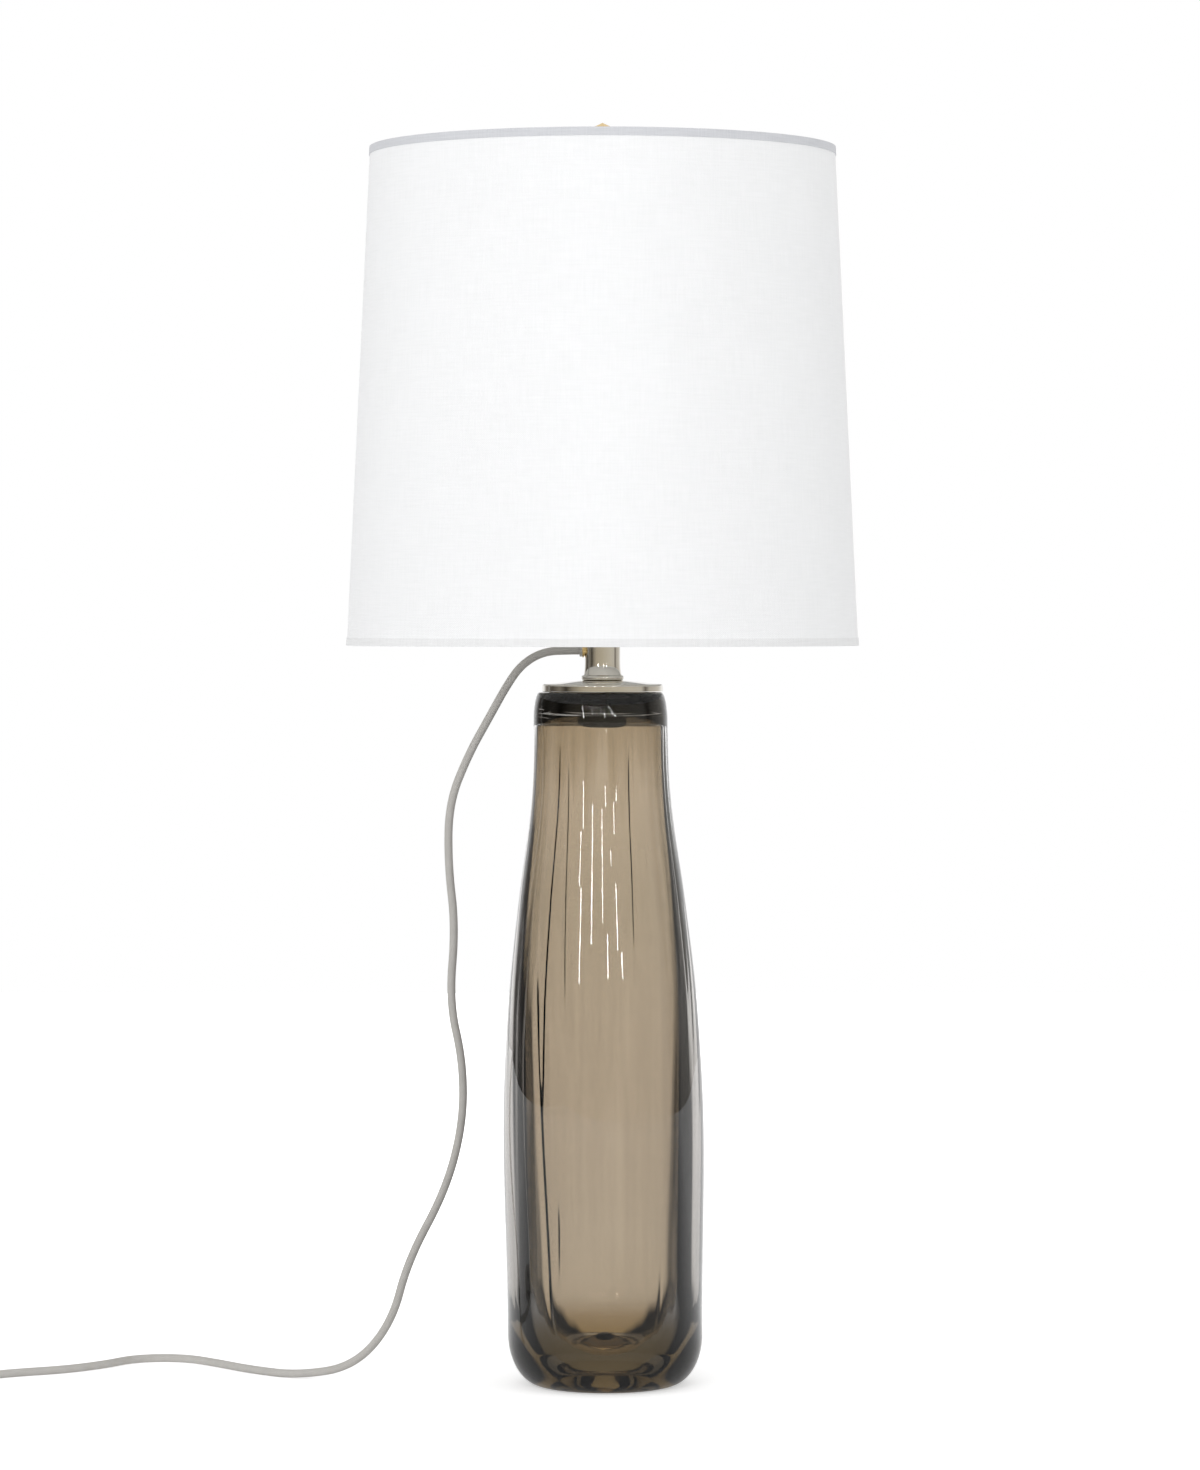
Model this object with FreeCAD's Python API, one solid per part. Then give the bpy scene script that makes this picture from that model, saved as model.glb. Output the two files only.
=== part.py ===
# Table lamp made from a heavy blown-glass bottle. The glass is plugged at its mouth and carries
# a nickel cap, a short neck with a cord outlet in its side, a turn-knob lampholder, a harp and
# a linen drum shade. Sizes are millimetres. +Z is up, the origin is the middle of the glass
# foot where it stands on the table, the front of the lamp faces -Y, and the cord leaves on -X.

import FreeCAD
import Part
import math
import os

V = FreeCAD.Vector
ORIGIN = V(0, 0, 0)
UP = V(0, 0, 1)
LEFT = V(-1, 0, 0)

# ---------------------------------------------------------------- sizes

# Clearances
thread_gap = 0.08           # between a threaded pipe and what it passes through
seat_gap = 0.1              # between pieces that are slid together
running_gap = 0.08          # between a shaft and its bearing
edge_round = 0.5            # broken edges of turned and stamped metal

# Glass bottle, outside
glass_height = 378.0
kick_radius = 26.0          # hollow polished into the underside
kick_depth = 5.0
foot_round_width = 18.0     # the heel is a quarter of an ellipse
foot_round_height = 28.0
heel_radius = 53.3
belly_radius = 54.9
belly_height = 140.0
flank_radius = 51.6
flank_share = 0.311         # of the way up from the belly to the shoulder
slope_radius = 45.6
slope_share = 0.559
throat_radius = 38.3
throat_share = 0.802
shoulder_radius = 36.6
rim_round_width = 3.4       # the shoulder turns in to the ground rim
rim_round_height = 16.0

# Glass bottle, inside
mouth_radius = 14.0
mouth_depth = 9.0
bore_top_radius = 33.6      # where the hollow's shoulder meets its side
bore_shoulder_height = 23.0
bore_throat_radius = 34.3
bore_slope_radius = 39.8
bore_flank_radius = 40.6
bore_belly_radius = 38.0
bore_radius = 36.5
bore_floor = 17.0           # thickness of glass under the hollow, from the table
bore_round_width = 19.0
bore_round_height = 45.0
punt_height = 9.0           # soft rise in the middle of the hollow's floor

# Plug in the mouth, moulded round the nut of the threaded pipe that draws it up
plug_height = 16.8
plug_taper = 0.5
plug_bowl_round = 7.0       # its lower end is a shallow bowl
plug_floor = 1.8            # rubber under the nut
pipe_radius = 4.9
pipe_bore_radius = 3.3
washer_thickness = 1.5
plug_washer_radius = 9.6
nut_across_flats = 15.8
nut_thickness = 4.5

# Cap, gasket and collar on top of the glass
gasket_radius = 29.0
gasket_thickness = 2.0
cap_radius = 33.0
cap_skirt_drop = 1.3        # how far the skirt hangs below the cap's inner face
cap_edge_height = 4.2
cap_edge_round = 1.1
cap_dome_rise = 2.1
cap_recess_gap = 0.3        # round the gasket
collar_radius = 11.6
collar_height = 2.9

# Neck
neck_radius = 9.7
neck_foot_radius = 10.4
neck_flare_height = 12.0
neck_wall = 1.0
neck_height = 39.1
bush_length = 8.0
check_ring_radius = 12.0
check_ring_thickness = 1.5

# Cord outlet in the neck's left side
outlet_rise = 13.5          # above the neck's lower end
outlet_hole_radius = 3.1
outlet_ring_radius = 3.9
outlet_ring_proud = 1.3
outlet_ring_wall = 0.35
outlet_lip_radius = 3.4
outlet_lip_proud = 1.5
outlet_shank_inside = 1.0   # how far the outlet's pieces reach into the neck

# Harp, its saddle and its two sleeves
harp_height = 228.6         # nominal nine inches, from the saddle's underside to the shade's seat
harp_wire_radius = 1.9
harp_half_width = 57.5
harp_leg_height = 50.0
harp_spread_height = 50.0
harp_side_height = 74.0
harp_top_half_width = 38.0
saddle_half_width = 27.3
saddle_thickness = 1.3
saddle_width = 13.0
saddle_prong_width = 5.0
saddle_prong_height = 16.0
saddle_bend = 1.0
saddle_shoulder = 3.0       # length over which the strip narrows to a prong
sleeve_length = 12.0
sleeve_wall = 0.7
sleeve_corner = 0.3
stud_block_radius = 6.5
stud_block_height = 7.6
stud_radius = 3.05
stud_height = 12.0
locknut_thickness = 3.0

# Lampholder
holder_boss_radius = 7.2
holder_boss_height = 7.0
holder_flare_low = 5.5      # where the boss opens into the bell of the cup
holder_flare_high = 15.0
holder_flare_root_round = 1.5
holder_flare_round = 6.0
holder_cup_radius = 17.4
holder_cup_height = 26.0
holder_wall = 0.8
holder_bead_rise = 1.0
holder_bead_height = 2.0
holder_bead_gap = 0.4       # between the cup's mouth and the bead
holder_height = 64.0
holder_overlap = 6.0        # the shell's lower end sits this deep in the cup
card_wall = 0.6             # insulating sleeve
card_drop = 1.0             # below the shell's upper edge
core_radius = 14.9
core_base = 19.0            # underside of the moulded core, from the holder's base
core_height = 19.0
core_edge_round = 1.0
core_slot_depth = 2.0       # passages for the wires at either side
core_slot_width = 3.0
screw_shell_radius = 13.1
screw_shell_wall = 0.4
screw_shell_flange = 3.5
screw_shell_drop = 2.0      # below the outer shell's upper edge
screw_head_radius = 3.0
screw_head_height = 2.0
screw_slot_width = 0.8
screw_slot_depth = 0.7
screw_spread = 9.0
contact_rise = 3.0
contact_half_length = 5.5
contact_half_crest = 1.8
contact_width = 4.0
contact_thickness = 0.5
knob_shaft_radius = 2.0
knob_shaft_rise = 32.0      # shaft's axis above the holder's base
knob_shaft_length = 22.0
knob_shaft_root = 4.0       # how far the shaft starts from the lamp's axis
knob_hole_radius = 2.7
knob_hub_radius = 3.6
knob_hub_length = 7.0
knob_end_wall = 1.0         # of the hub, past the shaft's end
knob_wing_width = 14.0
knob_wing_length = 10.0
knob_wing_thickness = 3.6
knob_wing_lap = 2.0         # how far the hub's end reaches into the wing
knob_wing_corner = 4.0

# Bulb
bulb_height = 108.0
bulb_radius = 30.0
bulb_neck_radius = 14.4
bulb_neck_step = 2.0        # the glass is drawn in where its cap takes it
bulb_neck_rise = 10.0
bulb_wall = 0.8
bulb_cap_radius = 13.0
bulb_cap_wall = 0.4
bulb_cap_height = 25.0
bulb_cap_chamfer = 2.5
bulb_seat_depth = 3.0       # how deep the glass sits in its cap
bulb_insulator_height = 4.0
bulb_insulator_lip = 0.6    # round the contact
bulb_contact_radius = 4.6
bulb_contact_height = 1.2

# Shade
shade_height = 271.0
shade_bottom_radius = 139.4
shade_top_radius = 126.5
shade_rim_rise = 17.9       # top rim above the seat on the harp
linen_thickness = 0.5
lining_thickness = 0.8
lining_gap = 0.1
trim_thickness = 0.4
trim_height = 4.4
ring_wire_radius = 1.4
hub_radius = 11.0
hub_thickness = 1.5
hub_hole_gap = 0.25
arm_count = 3
arm_turn = -96.0            # direction of the first arm, from +X

# Finial
finial_height = 30.0
finial_foot_radius = 6.5
finial_waist_radius = 4.7
finial_ball_radius = 7.6
finial_foot_height = 2.6
finial_waist_low = 4.4
finial_waist_high = 8.5
finial_ball_low = 12.0
finial_crown_drop = 3.5
finial_bore_gap = 0.1
finial_bore_spare = 0.6

# Cord, as it hangs from the outlet and then lies on the table
cord_radius = 2.25
cord_bore_gap = 0.1
cord_start = 4.5            # the cord's inner end, from the lamp's axis
lead_radius = 1.0
lead_offset = 1.15
lead_bend_rise = 1.5        # how far above the pipe the leads start to spread
lead_spread_rise = 5.5      # and where they are fully spread
coil_inner_radius = 18.0
coil_pitch = 5.85           # turns beside each other
coil_layer_rise = 5.5       # turns on each other
coil_half_turns_in = 5
coil_half_turns_out = 6

# Plug on the cord's end
relief_length = 22.0
relief_thin_radius = 3.3
relief_thick_radius = 5.5
relief_groove_count = 4
relief_groove_start = 5.5
relief_groove_pitch = 3.75
relief_groove_width = 1.4
relief_groove_depth = 0.8
plug_length = 30.0
plug_width = 25.0
plug_waist_width = 20.0
plug_thickness = 15.0
plug_back_width = 14.0
plug_back_length = 5.0      # how soon the plug is at its full width
plug_edge_round = 3.0
blade_length = 16.5
blade_width = 6.4
blade_wide_width = 7.9
blade_thickness = 1.5
blade_spacing = 12.7
blade_root = 6.0            # how deep a blade is set in the plug
blade_hole_radius = 1.6
blade_hole_from_tip = 4.0

# ---------------------------------------------------------------- heights along the stem

shoulder_height = glass_height - rim_round_height
side_rise = shoulder_height - belly_height
flank_height = belly_height + flank_share * side_rise
slope_height = belly_height + slope_share * side_rise
throat_height = belly_height + throat_share * side_rise
gasket_top = glass_height + gasket_thickness
cap_underside = gasket_top
cap_edge_top = cap_underside - cap_skirt_drop + cap_edge_height
cap_top = cap_edge_top + cap_dome_rise
neck_base = cap_top + collar_height
neck_top = neck_base + neck_height
outlet_height = neck_base + outlet_rise
saddle_base = neck_top + check_ring_thickness
saddle_top = saddle_base + saddle_thickness
holder_base = saddle_top + locknut_thickness
shade_seat = saddle_base + harp_height
shade_top = shade_seat + shade_rim_rise
shade_bottom = shade_top - shade_height
holder_top = holder_base + holder_height
core_bottom = holder_base + core_base
core_top = core_bottom + core_height
knob_height = holder_base + knob_shaft_rise
bulb_base = core_top + contact_rise
plug_bottom = glass_height - plug_height
plug_nut_low = plug_bottom + plug_floor
plug_washer_low = plug_nut_low + nut_thickness

pipe_clear_radius = pipe_radius + thread_gap
cord_clear_radius = cord_radius + cord_bore_gap
neck_bore_radius = neck_radius - neck_wall

# ---------------------------------------------------------------- route of the free cord

# Chosen by hand: out of the outlet, over in a bow that keeps its drop below the outlet, down
# beside the glass in two slack waves, and along the table in a loose S towards the coil.
coil_start = V(-377.5, 6.0, cord_radius)
cord_points = [
    V(-cord_start, 0, outlet_height),
    V(-18.5, 0, outlet_height),
    V(-32.5, 0, outlet_height - 0.7),
    V(-44.5, 0.5, outlet_height - 7.9),
    V(-53.0, 1.0, outlet_height - 20.4),
    V(-61.5, 1.5, outlet_height - 35.9),
    V(-73.0, 2.0, outlet_height - 56.4),
    V(-84.0, 3.0, 318.0),
    V(-84.5, 4.0, 284.0),
    V(-80.5, 5.0, 250.0),
    V(-84.0, 6.5, 209.0),
    V(-76.5, 8.0, 176.0),
    V(-76.5, 10.0, 142.0),
    V(-86.0, 12.0, 105.0),
    V(-107.0, 14.0, 66.0),
    V(-116.0, 15.0, 31.0),
    V(-137.0, 16.0, 7.0),
    V(-168.0, 17.0, cord_radius),
    V(-195.0, 39.0, cord_radius),
    V(-215.0, 64.0, cord_radius),
    V(-232.0, 82.3, cord_radius),
    V(-249.5, 86.0, cord_radius),
    V(-266.0, 79.0, cord_radius),
    V(-277.0, 60.0, cord_radius),
    V(-298.0, 39.0, cord_radius),
    V(-326.0, 26.0, cord_radius),
    V(-351.0, 6.0, cord_radius),
    coil_start + V(2 * cord_radius, 0, 0),
]

# ---------------------------------------------------------------- shape helpers


def line(a, b):
    return Part.LineSegment(a, b).toShape()


def arc(a, middle, b):
    return Part.Arc(a, middle, b).toShape()


def corner_arc(before, corner, after, reach):
    """Arc that leaves the run into a corner and meets the run out of it, each at reach."""
    into = (corner - before).normalize()
    out = (after - corner).normalize()
    half_turn = into.getAngle(out) / 2
    radius = reach / math.tan(half_turn)
    middle = corner + (out - into).normalize() * (radius / math.cos(half_turn) - radius)
    return arc(corner - into * reach, middle, corner + out * reach), radius


def outline(corners):
    """Closed wire in the X-Z plane through (x, z, corner radius)."""
    edges = []
    places = [V(x, 0, z) for x, z, _ in corners]
    last_end = None
    first_start = None
    for i, (_, _, radius) in enumerate(corners):
        before = places[i - 1]
        here = places[i]
        after = places[(i + 1) % len(places)]
        start = end = here
        bend = None
        if radius > 0:
            half_turn = (here - before).getAngle(after - here) / 2
            bend = corner_arc(before, here, after, radius * math.tan(half_turn))[0]
            start = bend.Vertexes[0].Point
            end = bend.Vertexes[-1].Point
        if last_end is None:
            first_start = start
        elif last_end.distanceToPoint(start) > 1e-6:
            edges.append(line(last_end, start))
        if bend is not None:
            edges.append(bend)
        last_end = end
    if last_end.distanceToPoint(first_start) > 1e-6:
        edges.append(line(last_end, first_start))
    return Part.Wire(edges)


def turned(wire):
    """Solid of revolution about the lamp's axis."""
    return Part.Face(wire).revolve(ORIGIN, UP, 360)


def turned_outline(corners):
    return turned(outline(corners))


def ring(outer, inner, low, high):
    """Flat-ended tube about the lamp's axis."""
    return turned_outline([(inner, low, 0), (outer, low, 0), (outer, high, 0), (inner, high, 0)])


def quarter_ellipse(centre, along, across):
    """Quarter ellipse from centre + along to centre + across; along is the longer way."""
    ellipse = Part.Ellipse(centre + along, centre + across, centre)
    return Part.ArcOfEllipse(ellipse, 0, math.pi / 2).toShape()


def smooth(points, tangents=None):
    """Smooth curve through points, with (start, end) directions where they are given."""
    curve = Part.BSplineCurve()
    if tangents:
        curve.interpolate(Points=points, InitialTangent=tangents[0], FinalTangent=tangents[1])
    else:
        curve.interpolate(points)
    return curve.toShape()


def box(low, high):
    return Part.makeBox(high.x - low.x, high.y - low.y, high.z - low.z, low)


def rod(radius, start, direction, length):
    return Part.makeCylinder(radius, length, start, direction)


def hex_nut(low, thickness, bore):
    corner_radius = nut_across_flats / math.sqrt(3)
    corners = []
    for i in range(7):
        turn = math.radians(60 * i + 30)
        corners.append(V(corner_radius * math.cos(turn), corner_radius * math.sin(turn), low))
    prism = Part.Face(Part.makePolygon(corners)).extrude(UP * thickness)
    return prism.cut(rod(bore, V(0, 0, low), UP, thickness))


def run_edges(points):
    """Straight runs joined by tangent arcs, as large as the shorter of two runs allows."""
    edges = []
    radii = []
    last = points[0]
    for before, corner, after in zip(points, points[1:], points[2:]):
        shorter = min(before.distanceToPoint(corner), corner.distanceToPoint(after))
        bend, radius = corner_arc(before, corner, after, 0.45 * shorter)
        edges.append(line(last, bend.Vertexes[0].Point))
        edges.append(bend)
        radii.append(radius)
        last = bend.Vertexes[-1].Point
    edges.append(line(last, points[-1]))
    return edges, radii


def swept(edges, radius):
    """Round wire or tube along a chain of edges."""
    path = Part.Wire(edges)
    start = edges[0].Vertexes[0].Point
    direction = edges[0].Vertexes[-1].Point - start
    section = Part.Wire(Part.Circle(start, direction, radius).toShape())
    return path.makePipeShell([section], True, False)


def bent_wire(points, radius):
    return swept(run_edges(points)[0], radius)


def save(name, shape):
    shape.exportStep("parts/" + name + ".step")


# ---------------------------------------------------------------- glass


def glass_body():
    """Blown bottle whose wall thickens from the shoulder to a heavy foot round its hollow."""
    dome = (kick_radius ** 2 + kick_depth ** 2) / (2 * kick_depth)
    half_way = kick_radius / 2
    kick_middle = V(half_way, 0, kick_depth - dome + math.sqrt(dome ** 2 - half_way ** 2))
    kick_edge = V(kick_radius, 0, 0)
    heel = V(heel_radius, 0, foot_round_height)
    foot_centre = V(heel_radius - foot_round_width, 0, foot_round_height)
    foot_edge = V(heel_radius - foot_round_width, 0, 0)
    shoulder = V(shoulder_radius, 0, shoulder_height)
    rim_centre = V(shoulder_radius - rim_round_width, 0, shoulder_height)
    rim_edge = V(shoulder_radius - rim_round_width, 0, glass_height)
    side = [
        heel,
        V(belly_radius, 0, belly_height),
        V(flank_radius, 0, flank_height),
        V(slope_radius, 0, slope_height),
        V(throat_radius, 0, throat_height),
        shoulder,
    ]
    mouth_edge = V(mouth_radius, 0, glass_height)
    mouth_end = V(mouth_radius, 0, glass_height - mouth_depth)
    bore_top = V(bore_top_radius, 0, mouth_end.z - bore_shoulder_height)
    bore_top_centre = V(mouth_radius, 0, bore_top.z)
    bore_foot = V(bore_radius, 0, bore_floor + bore_round_height)
    bore_centre = V(bore_radius - bore_round_width, 0, bore_floor + bore_round_height)
    bore_flat = V(bore_radius - bore_round_width, 0, bore_floor)
    punt = V(0, 0, bore_floor + punt_height)
    hollow = [
        bore_top,
        V(bore_throat_radius, 0, throat_height),
        V(bore_slope_radius, 0, slope_height),
        V(bore_flank_radius, 0, flank_height),
        V(bore_belly_radius, 0, belly_height),
        bore_foot,
    ]
    edges = [
        arc(V(0, 0, kick_depth), kick_middle, kick_edge),
        line(kick_edge, foot_edge),
        quarter_ellipse(foot_centre, foot_edge - foot_centre, heel - foot_centre),
        smooth(side, (V(0, 0, 1), V(0, 0, 1))),
        quarter_ellipse(rim_centre, rim_edge - rim_centre, shoulder - rim_centre),
        line(rim_edge, mouth_edge),
        line(mouth_edge, mouth_end),
        quarter_ellipse(bore_top_centre, mouth_end - bore_top_centre, bore_top - bore_top_centre),
        smooth(hollow, (V(0, 0, -1), V(0, 0, -1))),
        quarter_ellipse(bore_centre, bore_flat - bore_centre, bore_foot - bore_centre),
        smooth([bore_flat, punt], (V(-1, 0, 0), V(-1, 0, 0))),
        line(punt, V(0, 0, kick_depth)),
    ]
    return turned(Part.Wire(Part.__sortEdges__(edges)))


# ---------------------------------------------------------------- plug, cap and collar


def mouth_plug():
    """Rubber stopper with a bowl-shaped lower end, moulded round its nut and washer."""
    top = mouth_radius - seat_gap
    pocket = plug_washer_radius + seat_gap
    pocket_top = plug_washer_low + washer_thickness
    return turned_outline([
        (0, plug_bottom, 0),
        (top - plug_taper, plug_bottom, plug_bowl_round),
        (top, glass_height, 0),
        (pipe_clear_radius, glass_height, 0),
        (pipe_clear_radius, pocket_top, 0),
        (pocket, pocket_top, 0),
        (pocket, plug_nut_low, 0),
        (0, plug_nut_low, 0),
    ])


def plug_washer():
    """Spreads the nut's pull in the rubber above it."""
    top = plug_washer_low + washer_thickness
    return ring(plug_washer_radius, pipe_clear_radius, plug_washer_low, top)


def plug_nut():
    return hex_nut(plug_nut_low, nut_thickness, pipe_clear_radius)


def lower_pipe():
    """Hollow threaded pipe from the plug's nut up into the neck's lower bush."""
    return ring(pipe_radius, pipe_bore_radius, plug_nut_low, neck_base + bush_length)


def cap_gasket():
    return ring(gasket_radius, pipe_clear_radius, glass_height, gasket_top)


def vase_cap():
    """Turned cap with a low dome, hollowed under the edge to sit over the gasket."""
    skirt_bottom = cap_underside - cap_skirt_drop
    recess = gasket_radius + cap_recess_gap
    return turned_outline([
        (pipe_clear_radius, cap_underside, 0),
        (recess, cap_underside, 0),
        (recess, skirt_bottom, 0),
        (cap_radius, skirt_bottom, cap_edge_round / 2),
        (cap_radius, cap_edge_top, cap_edge_round),
        (collar_radius, cap_top, 0),
        (pipe_clear_radius, cap_top, 0),
    ])


def stem_collar():
    """Half-round bead between the cap and the neck."""
    middle = cap_top + collar_height / 2
    shoulder = collar_radius - collar_height / 2
    bead = arc(V(shoulder, 0, cap_top), V(collar_radius, 0, middle), V(shoulder, 0, neck_base))
    edges = [
        line(V(pipe_clear_radius, 0, cap_top), V(shoulder, 0, cap_top)),
        bead,
        line(V(shoulder, 0, neck_base), V(pipe_clear_radius, 0, neck_base)),
        line(V(pipe_clear_radius, 0, neck_base), V(pipe_clear_radius, 0, cap_top)),
    ]
    return turned(Part.Wire(edges))


# ---------------------------------------------------------------- neck and cord outlet


def neck_tube():
    """Tube that flares a little at its foot, with the outlet hole in its left side."""
    flare_top = neck_base + neck_flare_height
    flare = smooth(
        [V(neck_foot_radius, 0, neck_base), V(neck_radius, 0, flare_top)],
        (V(-0.25, 0, 1), V(0, 0, 1)),
    )
    edges = [
        line(V(neck_bore_radius, 0, neck_base), V(neck_foot_radius, 0, neck_base)),
        flare,
        line(V(neck_radius, 0, flare_top), V(neck_radius, 0, neck_top)),
        line(V(neck_radius, 0, neck_top), V(neck_bore_radius, 0, neck_top)),
        line(V(neck_bore_radius, 0, neck_top), V(neck_bore_radius, 0, neck_base)),
    ]
    tube = turned(Part.Wire(edges))
    hole = rod(outlet_hole_radius, V(0, 0, outlet_height), LEFT, neck_foot_radius + 1)
    return tube.cut(hole)


def neck_bush(low):
    """Threaded bush that closes one end of the neck round a pipe."""
    return ring(neck_bore_radius - seat_gap / 2, pipe_clear_radius, low, low + bush_length)


def outlet_piece(outer, flange, bore, flange_from, flange_to):
    """Tube through the neck's wall, with a flange outside it."""
    inside = V(-(neck_bore_radius - outlet_shank_inside), 0, outlet_height)
    shank = rod(outer, inside, LEFT, flange_to + inside.x)
    head = rod(flange, V(-flange_from, 0, outlet_height), LEFT, flange_to - flange_from)
    passage = rod(bore, ORIGIN + UP * outlet_height, LEFT, flange_to + 1)
    return shank.fuse(head).cut(passage).removeSplitter()


def outlet_ring():
    """Brass ring whose flange is shaped to the neck."""
    face = neck_radius + outlet_ring_proud
    shank_radius = outlet_hole_radius - seat_gap / 2
    whole = outlet_piece(
        shank_radius, outlet_ring_radius, shank_radius - outlet_ring_wall, neck_bore_radius, face
    )
    inside = neck_bore_radius - outlet_shank_inside
    neck_zone = ring(neck_foot_radius, inside, neck_base, neck_base + neck_flare_height)
    neck_zone = neck_zone.fuse(ring(neck_radius, inside, neck_base, neck_top))
    hole = rod(shank_radius, V(0, 0, outlet_height), LEFT, neck_foot_radius)
    return whole.cut(neck_zone.cut(hole))


def outlet_lip():
    """Clear plastic insert that keeps the cord off the metal."""
    face = neck_radius + outlet_ring_proud
    shank_radius = outlet_hole_radius - outlet_ring_wall - seat_gap
    return outlet_piece(
        shank_radius, outlet_lip_radius, cord_clear_radius, face, face + outlet_lip_proud
    )


def upper_pipe():
    """Hollow threaded pipe from the neck's upper bush into the lampholder."""
    low = neck_top - bush_length
    return ring(pipe_radius, pipe_bore_radius, low, holder_base + holder_boss_height)


def check_ring():
    return turned_outline([
        (pipe_clear_radius, neck_top, 0),
        (check_ring_radius, neck_top, edge_round),
        (check_ring_radius, saddle_base, edge_round),
        (pipe_clear_radius, saddle_base, 0),
    ])


# ---------------------------------------------------------------- harp


def harp_saddle():
    """Steel strip bent up at both ends, its prongs narrower than its middle."""
    prong_top = saddle_base + saddle_prong_height
    inner = saddle_half_width - saddle_thickness
    bend_outside = saddle_bend + saddle_thickness
    side = outline([
        (-saddle_half_width, saddle_base, bend_outside),
        (saddle_half_width, saddle_base, bend_outside),
        (saddle_half_width, prong_top, 0),
        (inner, prong_top, 0),
        (inner, saddle_top, saddle_bend),
        (-inner, saddle_top, saddle_bend),
        (-inner, prong_top, 0),
        (-saddle_half_width, prong_top, 0),
    ])
    half = saddle_width / 2
    side.translate(V(0, -half, 0))
    strip = Part.Face(side).extrude(V(0, saddle_width, 0))
    waist = inner - 2 * saddle_bend
    neck_in = waist - saddle_shoulder
    narrow = saddle_prong_width / 2
    plan = [
        V(-neck_in, -half, 0), V(neck_in, -half, 0), V(waist, -narrow, 0),
        V(saddle_half_width, -narrow, 0), V(saddle_half_width, narrow, 0), V(waist, narrow, 0),
        V(neck_in, half, 0), V(-neck_in, half, 0), V(-waist, narrow, 0),
        V(-saddle_half_width, narrow, 0), V(-saddle_half_width, -narrow, 0),
        V(-waist, -narrow, 0), V(-neck_in, -half, 0),
    ]
    blank = Part.Face(Part.makePolygon(plan)).extrude(UP * (saddle_prong_height + 1))
    blank.translate(V(0, 0, saddle_base - 0.5))
    hole = rod(pipe_clear_radius, V(0, 0, saddle_base), UP, saddle_thickness)
    return strip.common(blank).cut(hole)


def harp_leg_x():
    return saddle_half_width + seat_gap + harp_wire_radius


def harp_wire_top():
    """Height of the wire's middle where it runs through the stud block."""
    return shade_seat - stud_block_height / 2


def harp_frame():
    """One length of wire: two legs, a wide bow round the bulb, and a straight top."""
    foot = saddle_top
    leg = harp_leg_x()
    spread = foot + harp_leg_height + harp_spread_height
    right = [
        V(leg, 0, foot),
        V(leg, 0, foot + harp_leg_height),
        V(harp_half_width, 0, spread),
        V(harp_half_width, 0, spread + harp_side_height),
        V(harp_top_half_width, 0, harp_wire_top()),
    ]
    left = [V(-p.x, 0, p.z) for p in reversed(right)]
    return bent_wire(right + left, harp_wire_radius)


def harp_stud():
    """Block on the harp's top with a cross hole for the wire and a threaded stud above."""
    block = turned_outline([
        (0, shade_seat - stud_block_height, 0),
        (stud_block_radius, shade_seat - stud_block_height, 2 * edge_round),
        (stud_block_radius, shade_seat, edge_round),
        (stud_radius, shade_seat, 0),
        (stud_radius, shade_seat + stud_height, edge_round),
        (0, shade_seat + stud_height, 0),
    ])
    across = V(-2 * stud_block_radius, 0, harp_wire_top())
    hole = rod(harp_wire_radius + seat_gap / 2, across, V(1, 0, 0), 4 * stud_block_radius)
    return block.cut(hole)


def harp_sleeve(side):
    """Drawn sleeve round a saddle prong and a harp leg, oblong in plan."""
    low = saddle_top + saddle_bend + seat_gap
    inner_low = saddle_half_width - saddle_thickness - seat_gap
    inner_high = harp_leg_x() + harp_wire_radius + seat_gap
    half = saddle_prong_width / 2 + seat_gap
    middle = side * (inner_low + inner_high) / 2
    reach = (inner_high - inner_low) / 2

    def block(grow, corner):
        shape = box(
            V(middle - reach - grow, -half - grow, low),
            V(middle + reach + grow, half + grow, low + sleeve_length),
        )
        upright = [e for e in shape.Edges if abs(e.Vertexes[0].Z - e.Vertexes[-1].Z) > 1]
        return shape.makeFillet(corner, upright)

    return block(sleeve_wall, sleeve_wall + sleeve_corner).cut(block(0, sleeve_corner))


# ---------------------------------------------------------------- lampholder


def holder_cap():
    """Bell-shaped lower cup with a threaded boss."""
    boss_top = holder_base + holder_boss_height
    flare_low = holder_base + holder_flare_low
    flare_high = holder_base + holder_flare_high
    mouth = holder_base + holder_cup_height
    inner = holder_cup_radius - holder_wall
    slope = (flare_high - flare_low) / (holder_cup_radius - holder_boss_radius)
    lift = holder_wall * math.hypot(1, slope)
    inner_bend = flare_low + lift + slope * (inner - holder_boss_radius)
    inner_start = holder_boss_radius + (boss_top - flare_low - lift) / slope
    return turned_outline([
        (pipe_clear_radius, holder_base, 0),
        (holder_boss_radius, holder_base, edge_round),
        (holder_boss_radius, flare_low, holder_flare_root_round),
        (holder_cup_radius, flare_high, holder_flare_round),
        (holder_cup_radius, mouth, 0),
        (inner, mouth, 0),
        (inner, inner_bend, holder_flare_round - holder_wall),
        (inner_start, boss_top, 0),
        (pipe_clear_radius, boss_top, 0),
    ])


def holder_shell_low():
    return holder_base + holder_cup_height - holder_overlap


def knob_side_hole():
    return rod(knob_hole_radius, V(0, 0, knob_height), V(0, -1, 0), holder_cup_radius + 2)


def shell_outer_radius():
    return holder_cup_radius - holder_wall - seat_gap


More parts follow.
